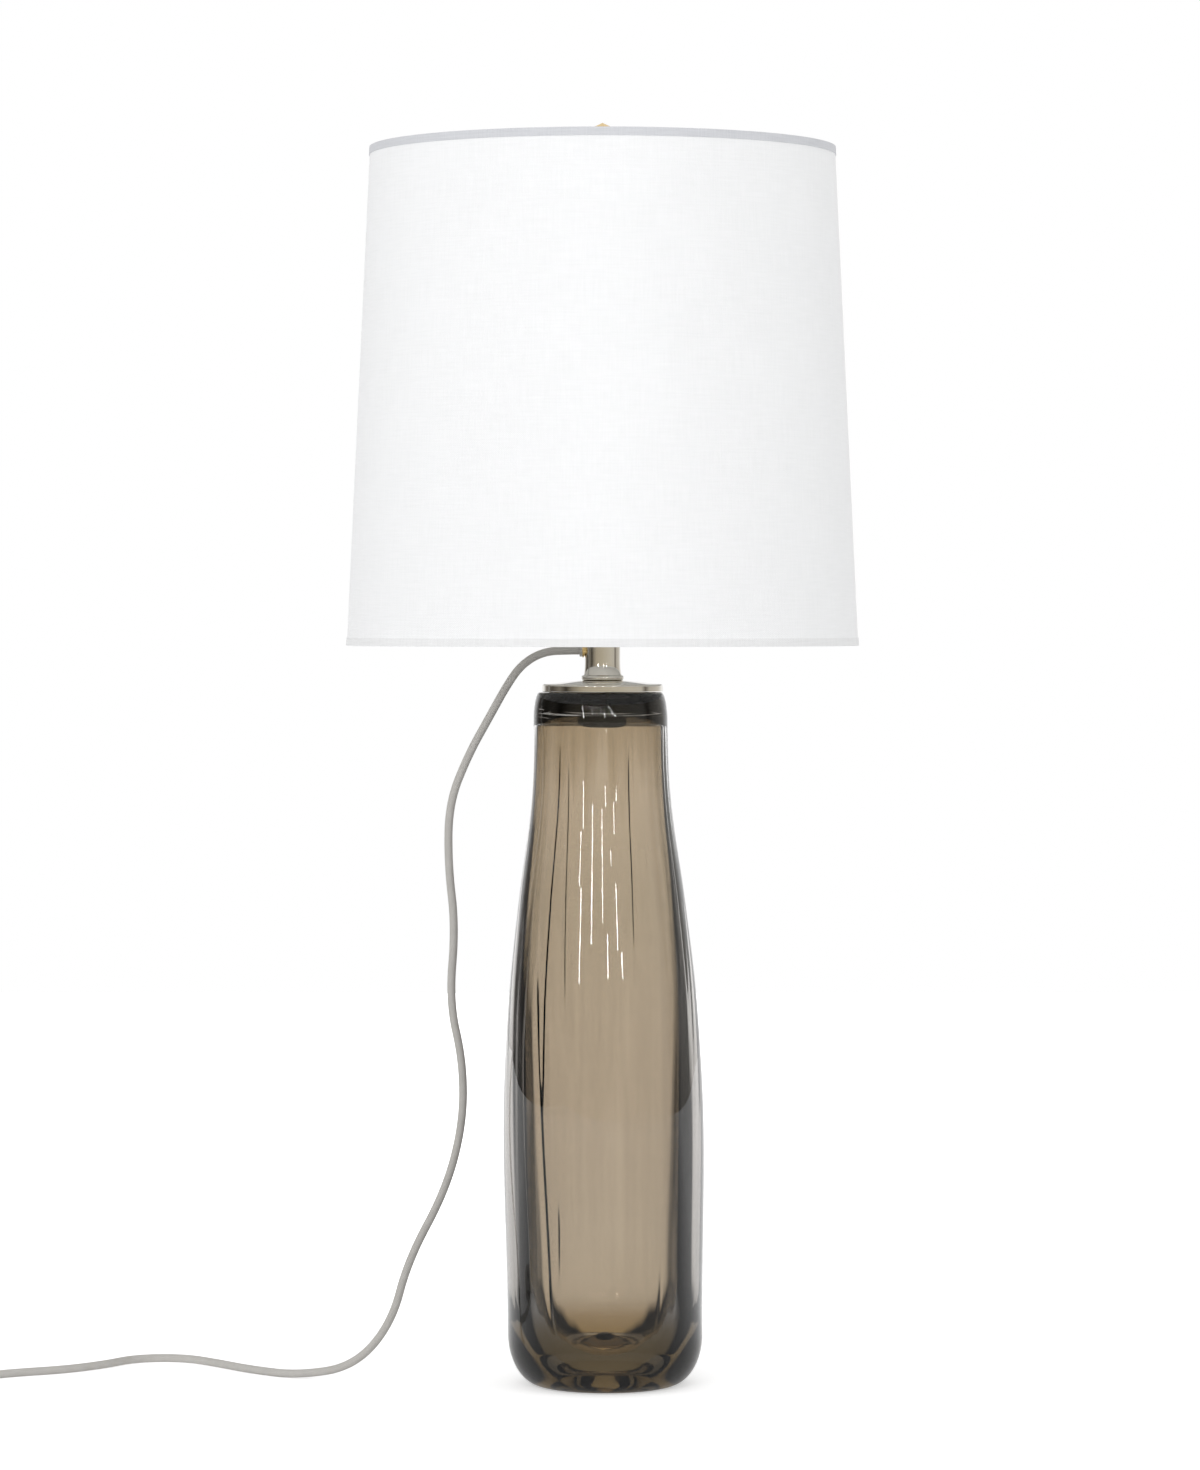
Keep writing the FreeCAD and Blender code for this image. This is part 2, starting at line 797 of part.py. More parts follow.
def holder_shell():
    """Upper shell with a rolled bead above the cup and a hole for the knob's shaft."""
    outer = shell_outer_radius()
    inner = outer - holder_wall
    bead_low = holder_base + holder_cup_height + holder_bead_gap
    bead_high = bead_low + holder_bead_height
    shell = turned_outline([
        (inner, holder_shell_low(), 0),
        (outer, holder_shell_low(), 0),
        (outer, bead_low, 0),
        (outer + holder_bead_rise, bead_low, edge_round),
        (outer + holder_bead_rise, bead_high, edge_round),
        (outer, bead_high, 0),
        (outer, holder_top, edge_round),
        (inner, holder_top, 0),
    ])
    return shell.cut(knob_side_hole())


def card_outer_radius():
    return shell_outer_radius() - holder_wall - seat_gap


def holder_card():
    """Insulating card sleeve inside the shell."""
    outer = card_outer_radius()
    sleeve = ring(outer, outer - card_wall, holder_shell_low(), holder_top - card_drop)
    return sleeve.cut(knob_side_hole())


def holder_core():
    """Moulded core that holds the switch, with a bore for the shaft and two wire passages."""
    core = turned_outline([
        (0, core_bottom, 0),
        (core_radius, core_bottom, core_edge_round),
        (core_radius, core_top, 0),
        (0, core_top, 0),
    ])
    bore = rod(knob_shaft_radius + running_gap, V(0, 0, knob_height), V(0, -1, 0), core_radius + 1)
    end = rod(knob_shaft_radius + running_gap, V(0, 0, knob_height), V(0, 1, 0), knob_shaft_root)
    for side in (-1, 1):
        slot = box(
            V(side * core_radius - core_slot_depth, -core_slot_width / 2, core_bottom),
            V(side * core_radius + core_slot_depth, core_slot_width / 2, core_top),
        )
        core = core.cut(slot)
    return core.cut(bore).cut(end)


def screw_shell():
    """Thin threaded shell that takes the bulb, closed inwards by a narrow flange."""
    outer = screw_shell_radius + screw_shell_wall
    inner = screw_shell_radius - screw_shell_flange
    top = holder_top - screw_shell_drop
    return turned_outline([
        (inner, core_top, 0),
        (outer, core_top, screw_shell_wall),
        (outer, top, 0),
        (screw_shell_radius, top, 0),
        (screw_shell_radius, core_top + screw_shell_wall, 0),
        (inner, core_top + screw_shell_wall, 0),
    ])


def centre_contact():
    """Sprung brass tongue under the bulb's contact."""
    end = contact_half_length
    root = contact_half_length / 2
    crest = contact_half_crest
    thick = contact_thickness
    side = outline([
        (-end, core_top, 0),
        (-root, core_top, 0),
        (-crest + thick / 2, bulb_base - thick, thick),
        (crest - thick / 2, bulb_base - thick, thick),
        (root, core_top, 0),
        (end, core_top, 0),
        (end, core_top + thick, 0),
        (root, core_top + thick, thick),
        (crest, bulb_base, thick),
        (-crest, bulb_base, thick),
        (-root, core_top + thick, thick),
        (-end, core_top + thick, 0),
    ])
    side.translate(V(0, -contact_width / 2, 0))
    return Part.Face(side).extrude(V(0, contact_width, 0))


def terminal_screws():
    """Two slotted cheese-head screws in the core's underside, where the leads end."""
    low = core_bottom - screw_head_height
    half = screw_slot_width / 2
    heads = []
    for side in (-1, 1):
        middle = side * screw_spread
        head = rod(screw_head_radius, V(middle, 0, low), UP, screw_head_height)
        slot = box(
            V(middle - half, -screw_head_radius, low),
            V(middle + half, screw_head_radius, low + screw_slot_depth),
        )
        heads.append(head.cut(slot))
    return Part.makeCompound(heads)


def knob_shaft():
    start = V(0, -knob_shaft_root, knob_height)
    return rod(knob_shaft_radius, start, V(0, -1, 0), knob_shaft_length)


def switch_knob():
    """Moulded turn key: a round hub and a flat wing."""
    shaft_end = knob_shaft_root + knob_shaft_length
    tip = shaft_end + knob_end_wall
    root = tip - knob_hub_length
    front = V(0, -1, 0)
    hub = rod(knob_hub_radius, V(0, -root, knob_height), front, knob_hub_length)
    half_width = knob_wing_width / 2
    half_thick = knob_wing_thickness / 2
    wing_root = tip - knob_wing_lap
    wing = box(
        V(-half_width, -wing_root - knob_wing_length, knob_height - half_thick),
        V(half_width, -wing_root, knob_height + half_thick),
    )
    upright = [e for e in wing.Edges if abs(e.Vertexes[0].Z - e.Vertexes[-1].Z) > 1]
    wing = wing.makeFillet(knob_wing_corner, upright)
    seat = rod(knob_shaft_radius + seat_gap / 2, V(0, -root, knob_height), front, shaft_end - root)
    return hub.fuse(wing).cut(seat).removeSplitter()


# ---------------------------------------------------------------- bulb


def bulb_neck(depth):
    """Radius where the glass enters its cap, at depth under its outer face."""
    return bulb_neck_radius - bulb_neck_step - depth


def bulb_seat():
    """Height at which the glass ends inside its cap."""
    return bulb_base + bulb_cap_height - bulb_seat_depth


def bulb_profile(depth):
    """Neck, side and crown of the pear-shaped glass, at depth under its outer face."""
    cap_edge = bulb_base + bulb_cap_height
    centre = bulb_base + bulb_height - bulb_radius
    wide = bulb_radius - depth
    diagonal = wide * math.sqrt(0.5)
    neck = line(V(bulb_neck(depth), 0, bulb_seat()), V(bulb_neck(depth), 0, cap_edge))
    side = smooth(
        [
            V(bulb_neck(depth), 0, cap_edge),
            V(bulb_neck_radius - depth, 0, cap_edge + bulb_neck_rise),
            V(wide, 0, centre),
        ],
        (UP, UP),
    )
    crown = arc(V(wide, 0, centre), V(diagonal, 0, centre + diagonal), V(0, 0, centre + wide))
    return [neck, side, crown]


def bulb_glass():
    """Blown pear-shaped glass, open below where its cap closes it."""
    top = bulb_base + bulb_height
    edges = bulb_profile(0) + bulb_profile(bulb_wall)
    edges.append(line(V(bulb_neck(bulb_wall), 0, bulb_seat()), V(bulb_neck(0), 0, bulb_seat())))
    edges.append(line(V(0, 0, top), V(0, 0, top - bulb_wall)))
    return turned(Part.Wire(Part.__sortEdges__(edges)))


def bulb_cap():
    """Thin screw cap, cupped round the foot of the glass."""
    low = bulb_base + bulb_insulator_height
    bend = low + bulb_cap_chamfer
    top = bulb_base + bulb_cap_height
    inner = bulb_neck(0) + seat_gap
    return turned_outline([
        (0, low, 0),
        (bulb_cap_radius - bulb_cap_chamfer, low, 0),
        (bulb_cap_radius, bend, 2 * edge_round),
        (bulb_cap_radius, top, 0),
        (inner, top, 0),
        (inner, bend, edge_round),
        (inner - bulb_cap_chamfer + bulb_cap_wall, low + bulb_cap_wall, 0),
        (0, low + bulb_cap_wall, 0),
    ])


def bulb_insulator():
    """Black glass seat of the contact, under the cap."""
    low = bulb_base + bulb_contact_height
    high = bulb_base + bulb_insulator_height
    return turned_outline([
        (0, low, 0),
        (bulb_contact_radius + bulb_insulator_lip, low, 0),
        (bulb_cap_radius - bulb_cap_chamfer, high, 0),
        (0, high, 0),
    ])


def bulb_contact():
    return turned_outline([
        (0, bulb_base, 0),
        (bulb_contact_radius, bulb_base, edge_round),
        (bulb_contact_radius, bulb_base + bulb_contact_height, 0),
        (0, bulb_base + bulb_contact_height, 0),
    ])


# ---------------------------------------------------------------- shade


def linen_radius(height):
    """Outside radius of the linen at a height."""
    share = (height - shade_bottom) / shade_height
    return shade_bottom_radius + share * (shade_top_radius - shade_bottom_radius)


def shade_wall(depth, thickness, low, high):
    """Thin drum wall whose outer face lies at depth under the linen's outer face."""
    return turned_outline([
        (linen_radius(low) - depth - thickness, low, 0),
        (linen_radius(low) - depth, low, 0),
        (linen_radius(high) - depth, high, 0),
        (linen_radius(high) - depth - thickness, high, 0),
    ])


def wall_low():
    return shade_bottom + trim_thickness + seat_gap


def wall_high():
    return shade_top - trim_thickness - seat_gap


def shade_linen():
    return shade_wall(0, linen_thickness, wall_low(), wall_high())


def shade_lining():
    return shade_wall(linen_thickness + lining_gap, lining_thickness, wall_low(), wall_high())


def ring_radius(height):
    """Middle radius of a wire ring that touches the lining at a height."""
    depth = linen_thickness + lining_gap + lining_thickness + seat_gap / 2
    return linen_radius(height) - depth - ring_wire_radius


def top_ring_height():
    return wall_high() - ring_wire_radius


def bottom_ring_height():
    return wall_low() + ring_wire_radius


def wire_ring(height):
    return Part.makeTorus(ring_radius(height), ring_wire_radius, V(0, 0, height), UP)


def trim(edge, inwards):
    """Rolled cloth edge: over the rim and down both faces, round the wire ring."""
    far = edge + inwards * trim_height
    web = edge + inwards * trim_thickness

    def at(height, depth):
        return (linen_radius(height) - depth, height, 0)

    inner = linen_thickness + lining_gap + lining_thickness + 2 * ring_wire_radius + 2 * seat_gap
    return turned_outline([
        at(far, -trim_thickness),
        at(edge, -trim_thickness),
        at(edge, inner + trim_thickness),
        at(far, inner + trim_thickness),
        at(far, inner),
        at(web, inner),
        at(web, 0),
        at(far, 0),
    ])


def shade_hub():
    """Washer that sits on the harp's stud block."""
    return turned_outline([
        (stud_radius + hub_hole_gap, shade_seat, 0),
        (hub_radius, shade_seat, 0),
        (hub_radius, shade_seat + hub_thickness, 0),
        (stud_radius + hub_hole_gap, shade_seat + hub_thickness, 0),
    ])


def shade_arms():
    """Wires brazed to the hub's edge, run out level and turned up to the top ring."""
    middle = shade_seat + hub_thickness / 2
    reach = ring_radius(top_ring_height())
    arm = bent_wire(
        [
            V(hub_radius, 0, middle),
            V(reach, 0, middle),
            V(reach, 0, top_ring_height() - ring_wire_radius),
        ],
        ring_wire_radius,
    )
    arms = []
    for i in range(arm_count):
        one = arm.copy()
        one.rotate(ORIGIN, UP, arm_turn + i * 360 / arm_count)
        arms.append(one)
    return Part.makeCompound(arms)


def finial():
    """Turned brass finial with a blind threaded bore."""
    base = shade_seat + hub_thickness
    bore = stud_radius + finial_bore_gap
    bore_top = shade_seat + stud_height + finial_bore_spare
    top = base + finial_height
    half_ball = finial_ball_radius / 2
    return turned_outline([
        (0, bore_top, 0),
        (bore, bore_top, 0),
        (bore, base, 0),
        (finial_foot_radius, base, edge_round),
        (finial_foot_radius, base + finial_foot_height, 2 * edge_round),
        (finial_waist_radius, base + finial_waist_low, 2 * edge_round),
        (finial_waist_radius, base + finial_waist_high, half_ball),
        (finial_ball_radius, base + finial_ball_low, half_ball),
        (finial_ball_radius, top - finial_crown_drop, half_ball),
        (0, top, 0),
    ])


# ---------------------------------------------------------------- cord, coil and plug


def cord():
    """The cord's free stretch, from inside the neck to the coil."""
    edges, radii = run_edges(cord_points)
    tube = swept(edges, cord_radius)
    length = sum(e.Length for e in edges)
    print("cord radii", [round(r, 1) for r in radii])
    print("cord length", round(length, 1), "volume", round(tube.Volume, 1),
          "section x length", round(math.pi * cord_radius ** 2 * length, 1))
    return tube, length


def coil_edges():
    """Half-turn arcs that spiral in on the table, climb, and spiral out on top."""
    total = coil_half_turns_in + 1 + coil_half_turns_out
    step = coil_pitch / 2
    start_radius = coil_inner_radius + coil_half_turns_in * step
    centre = coil_start + V(0, start_radius, 0)
    edges = [line(coil_start + V(2 * cord_radius, 0, 0), coil_start)]
    here = coil_start
    for i in range(total):
        if i < coil_half_turns_in:
            radius = start_radius - (i + 1) * step
            layer = 0
        else:
            radius = coil_inner_radius + (i - coil_half_turns_in) * step
            layer = coil_layer_rise
        far = 1 if i % 2 == 0 else -1
        there = centre + V(0, far * radius, layer)
        middle = (here + there) * 0.5
        bulge = V(-far, 0, 0) * (here.distanceToPoint(there) / 2)
        edges.append(arc(here, middle + bulge, there))
        here = there
    edges.append(line(here, here + LEFT * (2 * cord_radius)))
    return edges


def least_self_gap(edges, step=1.5):
    """Least gap between stretches of a coil that aren't next to each other along it."""
    points = []
    for edge in edges:
        count = max(2, int(edge.Length / step))
        points += edge.discretize(count)[:-1]
    apart = int(math.pi * coil_inner_radius / step)
    least = 1e9
    for i, a in enumerate(points):
        for b in points[i + apart:]:
            least = min(least, a.distanceToPoint(b))
    return least - 2 * cord_radius


def cord_coil():
    edges = coil_edges()
    tube = swept(edges, cord_radius)
    length = sum(e.Length for e in edges)
    print("coil length", round(length, 1), "volume", round(tube.Volume, 1),
          "section x length", round(math.pi * cord_radius ** 2 * length, 1),
          "least self gap", round(least_self_gap(edges), 2))
    return tube, length


def plug_face():
    """Middle of the coil's far end, where the strain relief begins."""
    return coil_edges()[-1].Vertexes[-1].Point


def strain_relief(face):
    """Tapered, waisted sleeve on the cord where it enters the plug."""
    cone = Part.makeCone(relief_thin_radius, relief_thick_radius, relief_length, face, LEFT)
    taper = (relief_thick_radius - relief_thin_radius) / relief_length
    for i in range(relief_groove_count):
        along = relief_groove_start + relief_groove_pitch * i
        place = face + LEFT * along
        floor = relief_thin_radius + taper * along - relief_groove_depth
        groove = rod(relief_thick_radius, place, LEFT, relief_groove_width)
        cone = cone.cut(groove.cut(rod(floor, place, LEFT, relief_groove_width)))
    return cone


def plug_body(face):
    """Moulded two-blade plug with a waist for the fingers."""
    back = face.x - relief_length
    front = back - plug_length
    half = plug_width / 2
    half_waist = plug_waist_width / 2
    half_back = plug_back_width / 2
    shoulder = back - plug_back_length
    middle = back - plug_length / 2
    plan = outline([
        (back, -half_back, 2.0),
        (shoulder, -half, 4.0),
        (middle, -half_waist, 12.0),
        (front, -half, 1.5),
        (front, half, 1.5),
        (middle, half_waist, 12.0),
        (shoulder, half, 4.0),
        (back, half_back, 2.0),
    ])
    low = face.z - plug_thickness / 2
    slab = Part.Face(plan).extrude(V(0, plug_thickness, 0))
    slab.rotate(ORIGIN, V(1, 0, 0), 90)
    slab.translate(V(0, face.y, low))
    rims = [e for e in slab.Edges if abs(e.Vertexes[0].Z - e.Vertexes[-1].Z) < 1e-6]
    slab = slab.makeFillet(plug_edge_round, rims)
    for side, width in ((-1, blade_width), (1, blade_wide_width)):
        slab = slab.cut(blade(face, side, width, seat_gap / 2, False))
    return slab


def blade(face, side, width, grow, pierced):
    front = face.x - relief_length - plug_length
    middle = face.y + side * blade_spacing / 2
    shape = box(
        V(front - blade_length, middle - blade_thickness / 2 - grow, face.z - width / 2 - grow),
        V(front + blade_root + grow, middle + blade_thickness / 2 + grow, face.z + width / 2 + grow),
    )
    if not pierced:
        return shape
    tip = V(front - blade_length + blade_hole_from_tip, middle - blade_thickness, face.z)
    return shape.cut(rod(blade_hole_radius, tip, V(0, 1, 0), 2 * blade_thickness))


def plug_blades(face):
    return Part.makeCompound([
        blade(face, -1, blade_width, 0, True),
        blade(face, 1, blade_wide_width, 0, True),
    ])


def inner_leads():
    """The cord's two conductors, from its inner end up through the pipe to the screws."""
    leads = []
    screw_low = core_bottom - screw_head_height
    pipe_end = holder_base + holder_boss_height
    for side in (-1, 1):
        offset = side * lead_offset
        leads.append(bent_wire(
            [
                V(-cord_start, offset, outlet_height),
                V(0, offset, outlet_height),
                V(0, offset, pipe_end + lead_bend_rise),
                V(side * screw_spread, 0, pipe_end + lead_spread_rise),
                V(side * screw_spread, 0, screw_low),
            ],
            lead_radius,
        ))
    return Part.makeCompound(leads)


# ---------------------------------------------------------------- build

os.makedirs("parts", exist_ok=True)

save("glass_body", glass_body())
save("mouth_plug", mouth_plug())
save("plug_washer", plug_washer())
save("plug_nut", plug_nut())
save("lower_pipe", lower_pipe())
save("cap_gasket", cap_gasket())
save("vase_cap", vase_cap())
save("stem_collar", stem_collar())
save("neck_tube", neck_tube())
save("neck_lower_bush", neck_bush(neck_base))
save("neck_upper_bush", neck_bush(neck_top - bush_length))
save("outlet_ring", outlet_ring())
save("outlet_lip", outlet_lip())
save("upper_pipe", upper_pipe())
save("check_ring", check_ring())
save("harp_saddle", harp_saddle())
save("saddle_locknut", hex_nut(saddle_top, locknut_thickness, pipe_clear_radius))
save("harp_frame", harp_frame())
save("harp_stud", harp_stud())
save("harp_sleeve_left", harp_sleeve(-1))
save("harp_sleeve_right", harp_sleeve(1))
save("holder_cap", holder_cap())
save("holder_shell", holder_shell())
save("holder_card", holder_card())
save("holder_core", holder_core())
save("screw_shell", screw_shell())
save("centre_contact", centre_contact())
save("terminal_screws", terminal_screws())
save("knob_shaft", knob_shaft())
save("switch_knob", switch_knob())
save("bulb_glass", bulb_glass())
save("bulb_cap", bulb_cap())
save("bulb_insulator", bulb_insulator())
save("bulb_contact", bulb_contact())
save("shade_linen", shade_linen())
save("shade_lining", shade_lining())
save("shade_top_trim", trim(shade_top, -1))
save("shade_bottom_trim", trim(shade_bottom, 1))
save("shade_top_ring", wire_ring(top_ring_height()))
save("shade_bottom_ring", wire_ring(bottom_ring_height()))
save("shade_hub", shade_hub())
save("shade_arms", shade_arms())
save("finial", finial())
save("inner_leads", inner_leads())

cord_tube, cord_length = cord()
save("cord", cord_tube)
coil_tube, coil_length = cord_coil()
save("cord_coil", coil_tube)
save("plug_strain_relief", strain_relief(plug_face()))
save("plug_body", plug_body(plug_face()))
save("plug_blades", plug_blades(plug_face()))
print("whole cord", round(cord_length + coil_length, 1))
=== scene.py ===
# Table lamp with a body of thick smoky glass, a nickel cap and neck, a braided cord that leaves the
# neck's side, and a white linen drum shade on a harp. The sections follow the lamp as it is put
# together. Lengths are metres, +Z is up, and the front faces -Y.

import math

import bpy
import numpy as np
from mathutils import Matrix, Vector


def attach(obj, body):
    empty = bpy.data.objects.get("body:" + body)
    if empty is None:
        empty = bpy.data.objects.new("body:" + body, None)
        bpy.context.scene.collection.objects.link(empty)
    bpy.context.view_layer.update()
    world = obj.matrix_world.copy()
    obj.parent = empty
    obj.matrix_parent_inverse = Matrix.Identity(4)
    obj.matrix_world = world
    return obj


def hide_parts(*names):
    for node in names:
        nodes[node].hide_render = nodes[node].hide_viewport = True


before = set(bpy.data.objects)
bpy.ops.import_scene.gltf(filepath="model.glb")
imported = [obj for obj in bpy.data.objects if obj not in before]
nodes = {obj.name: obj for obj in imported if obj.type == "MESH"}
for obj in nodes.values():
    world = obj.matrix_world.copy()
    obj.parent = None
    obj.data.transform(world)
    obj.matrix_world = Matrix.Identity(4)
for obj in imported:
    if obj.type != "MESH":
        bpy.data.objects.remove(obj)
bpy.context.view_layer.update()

# ---------------------------------------------------------------- camera
# A long lens nearly three metres off, a little above half the lamp's height and tilted down by
# about a degree, so that the shade's rims show as shallow curves.

camera_distance = 2.9
camera_height = 0.421
camera_aside = -0.0014
camera_tilt = math.radians(1.3)
sensor_width = 36.0
picture_width = 1200
focal_pixels = 5314

lens = bpy.data.cameras.new("camera")
lens.sensor_fit = "HORIZONTAL"
lens.sensor_width = sensor_width
lens.lens = sensor_width * focal_pixels / picture_width
camera = bpy.data.objects.new("camera", lens)
camera.location = (camera_aside, -camera_distance, camera_height)
camera.rotation_euler = (math.pi / 2 - camera_tilt, 0, 0)
bpy.context.scene.collection.objects.link(camera)
bpy.context.scene.camera = camera
bpy.context.scene.view_settings.view_transform = "Standard"

# ---------------------------------------------------------------- cord
# Two conductors in a round sleeve of fine grey-beige braid. It leaves the neck, falls beside the
# glass in slack waves, lies along the table, and its spare length is wound in a flat coil.

cord_radius = 0.00225
cord_route = [
    Vector((-0.0045, 0, 0.4014)),
    Vector((-0.0185, 0, 0.4014)),
    Vector((-0.0325, 0, 0.4007)),
    Vector((-0.0445, 0.0005, 0.3935)),
    Vector((-0.0530, 0.0010, 0.3810)),
    Vector((-0.0615, 0.0015, 0.3655)),
    Vector((-0.0730, 0.0020, 0.3450)),
    Vector((-0.0840, 0.0030, 0.3180)),
    Vector((-0.0845, 0.0040, 0.2840)),
    Vector((-0.0805, 0.0050, 0.2500)),
    Vector((-0.0840, 0.0065, 0.2090)),
    Vector((-0.0765, 0.0080, 0.1760)),
    Vector((-0.0765, 0.0100, 0.1420)),
    Vector((-0.0860, 0.0120, 0.1050)),
    Vector((-0.1070, 0.0140, 0.0660)),
    Vector((-0.1160, 0.0150, 0.0310)),
    Vector((-0.1370, 0.0160, 0.0070)),
    Vector((-0.1680, 0.0170, cord_radius)),
    Vector((-0.1950, 0.0390, cord_radius)),
    Vector((-0.2150, 0.0640, cord_radius)),
    Vector((-0.2320, 0.0823, cord_radius)),
    Vector((-0.2495, 0.0860, cord_radius)),
    Vector((-0.2660, 0.0790, cord_radius)),
    Vector((-0.2770, 0.0600, cord_radius)),
    Vector((-0.2980, 0.0390, cord_radius)),
    Vector((-0.3260, 0.0260, cord_radius)),
    Vector((-0.3510, 0.0060, cord_radius)),
]
coil_start = Vector((-0.3775, 0.006, cord_radius))
coil_inner_radius = 0.018
coil_pitch = 0.00585
coil_layer_rise = 0.0055
coil_half_turns_in = 5
coil_half_turns_out = 6
coil_points_per_half_turn = 8
braid_crowns = 12           # round the cord
braid_depth = 0.00010
braid_step = 0.00062
# the braid's dark tone is painted shade in the grooves between picks; the light tone is the crowns
braid_crown_painted_light = (0.58, 0.565, 0.54)
braid_groove_painted_shade = (0.39, 0.375, 0.35)


class Term:
    """A socket that takes part in sums."""

    def __init__(self, graph, socket):
        self.graph = graph
        self.socket = socket

    def math(self, operation, *others):
        values = dict(enumerate((self, *others)))
        return self.graph.node("ShaderNodeMath", values, operation=operation)

    def other(self, name):
        return Term(self.graph, self.socket.node.outputs[name])

    def __add__(self, other):
        return self.math("ADD", other)

    __radd__ = __add__

    def __sub__(self, other):
        return self.math("SUBTRACT", other)

    def __rsub__(self, other):
        return (self * -1) + other

    def __mul__(self, other):
        return self.math("MULTIPLY", other)

    __rmul__ = __mul__

    def __truediv__(self, other):
        return self.math("DIVIDE", other)


class Graph:
    """A node tree that is filled one node at a time."""

    def __init__(self, tree):
        self.tree = tree

    def node(self, kind, values=None, out=0, stops=None, **settings):
        made = self.tree.nodes.new(kind)
        for name, setting in settings.items():
            setattr(made, name, setting)
        if stops:
            ramp = made.color_ramp
            ramp.elements.remove(ramp.elements[1])
            ramp.elements[0].position = stops[0][0]
            ramp.elements[0].color = (*stops[0][1], 1)
            for place, colour in stops[1:]:
                ramp.elements.new(place).color = (*colour, 1)
        for key, value in (values or {}).items():
            if isinstance(value, Term):
                self.tree.links.new(value.socket, made.inputs[key])
            else:
                made.inputs[key].default_value = value
        return Term(self, made.outputs[out]) if made.outputs else None


class Finish(Graph):
    """A material round one Principled shader."""

    def __init__(self, name, colour, **fixed):
        self.material = bpy.data.materials.new(name)
        self.material.use_nodes = True
        super().__init__(self.material.node_tree)
        self.shader = self.tree.nodes["Principled BSDF"]
        self.shader.inputs["Base Color"].default_value = (*colour, 1)
        for key, value in fixed.items():
            socket = key.replace("_", " ").title().replace("Ior", "IOR")
            self.shader.inputs[socket].default_value = value

    def feed(self, name, term):
        self.tree.links.new(term.socket, self.shader.inputs[name])

    def place(self):
        return self.node("ShaderNodeTexCoord", out="Object")

    def noise(self, scale, detail=2.0, vector=None, roughness=0.5):
        values = {"Scale": scale, "Detail": detail, "Roughness": roughness}
        return self.node("ShaderNodeTexNoise", {"Vector": vector or self.place(), **values})

    def blend(self, share, low, high):
        """Colour from low to high as share goes from 0 to 1."""
        values = {"Factor": share}
        for key, colour in (("A", low), ("B", high)):
            values[key] = colour if isinstance(colour, Term) else (*colour, 1)
        made = self.node("ShaderNodeMix", data_type="RGBA")
        mix = made.socket.node
        sockets = {"Factor": mix.inputs[0], "A": mix.inputs[6], "B": mix.inputs[7]}
        for key, value in values.items():
            if isinstance(value, Term):
                self.tree.links.new(value.socket, sockets[key])
            else:
                sockets[key].default_value = value
        return Term(self, mix.outputs[2])

    def bump(self, height, distance, strength=1.0):
        values = {"Height": height, "Distance": distance, "Strength": strength}
        self.feed("Normal", self.node("ShaderNodeBump", values))


def braid_finish():
    """Fine picks that cross at a shallow angle, with painted shade in the grooves between them, so
    lighter on their crowns.
    """
    finish = Finish("cord_braid", braid_crown_painted_light, roughness=0.85)
    along = finish.node("ShaderNodeAttribute", out="Fac", attribute_name="along")
    around = finish.node("ShaderNodeAttribute", out="Fac", attribute_name="around")
    lay = braid_step * 2
    rising = (around * braid_crowns + along / lay) * math.pi
    falling = (around * braid_crowns - along / lay) * math.pi
    crowns = rising.math("SINE").math("ABSOLUTE") * falling.math("SINE").math("ABSOLUTE")
    worn = finish.noise(220.0, 3.0)
    # painted shade: the crowns pattern darkens the braid between picks; the noise is the yarn's own
    # tone
    share = (crowns * 0.75 + worn * 0.5).math("MINIMUM", 1.0)
    finish.feed("Base Color", finish.blend(share, braid_groove_painted_shade, braid_crown_painted_light))
    finish.bump(crowns, braid_depth, 0.8)
    return finish.material


def cord_curve():
    """The cord's line: the route, then the coil's half turns, in on the table and out on top."""
    points = list(cord_route)
    step = coil_pitch / 2
    start_radius = coil_inner_radius + coil_half_turns_in * step
    centre = coil_start + Vector((0, start_radius, 0))
    here = coil_start
    stretch = 1 / math.cos(math.pi / coil_points_per_half_turn / 2)
    for i in range(coil_half_turns_in + 1 + coil_half_turns_out):
        inwards = i < coil_half_turns_in
        turn_radius = start_radius - (i + 1) * step
        if not inwards:
            turn_radius = coil_inner_radius + (i - coil_half_turns_in) * step
        far = 1 if i % 2 == 0 else -1
        there = centre + Vector((0, far * turn_radius, 0 if inwards else coil_layer_rise))
        middle = (here + there) / 2
        spoke = here - middle
        bulge = Vector((-far, 0, 0)) * spoke.length
        for k in range(coil_points_per_half_turn):
            turn = math.pi * (k + 0.5) / coil_points_per_half_turn
            aside = spoke * math.cos(turn)
            out = bulge * math.sin(turn)
            points.append(middle + Vector((0, aside.y * stretch, aside.z)) + out * stretch)
        here = there
    points.append(here + Vector((-2 * cord_radius, 0, 0)))
    curve = bpy.data.curves.new("cord_line", "CURVE")
    curve.dimensions = "3D"
    curve.resolution_u = 12
    spline = curve.splines.new("NURBS")
    spline.points.add(len(points) - 1)
    for place, point in zip(spline.points, points):
        place.co = (*point, 1)
    spline.order_u = 3
    spline.use_endpoint_u = True
    return curve


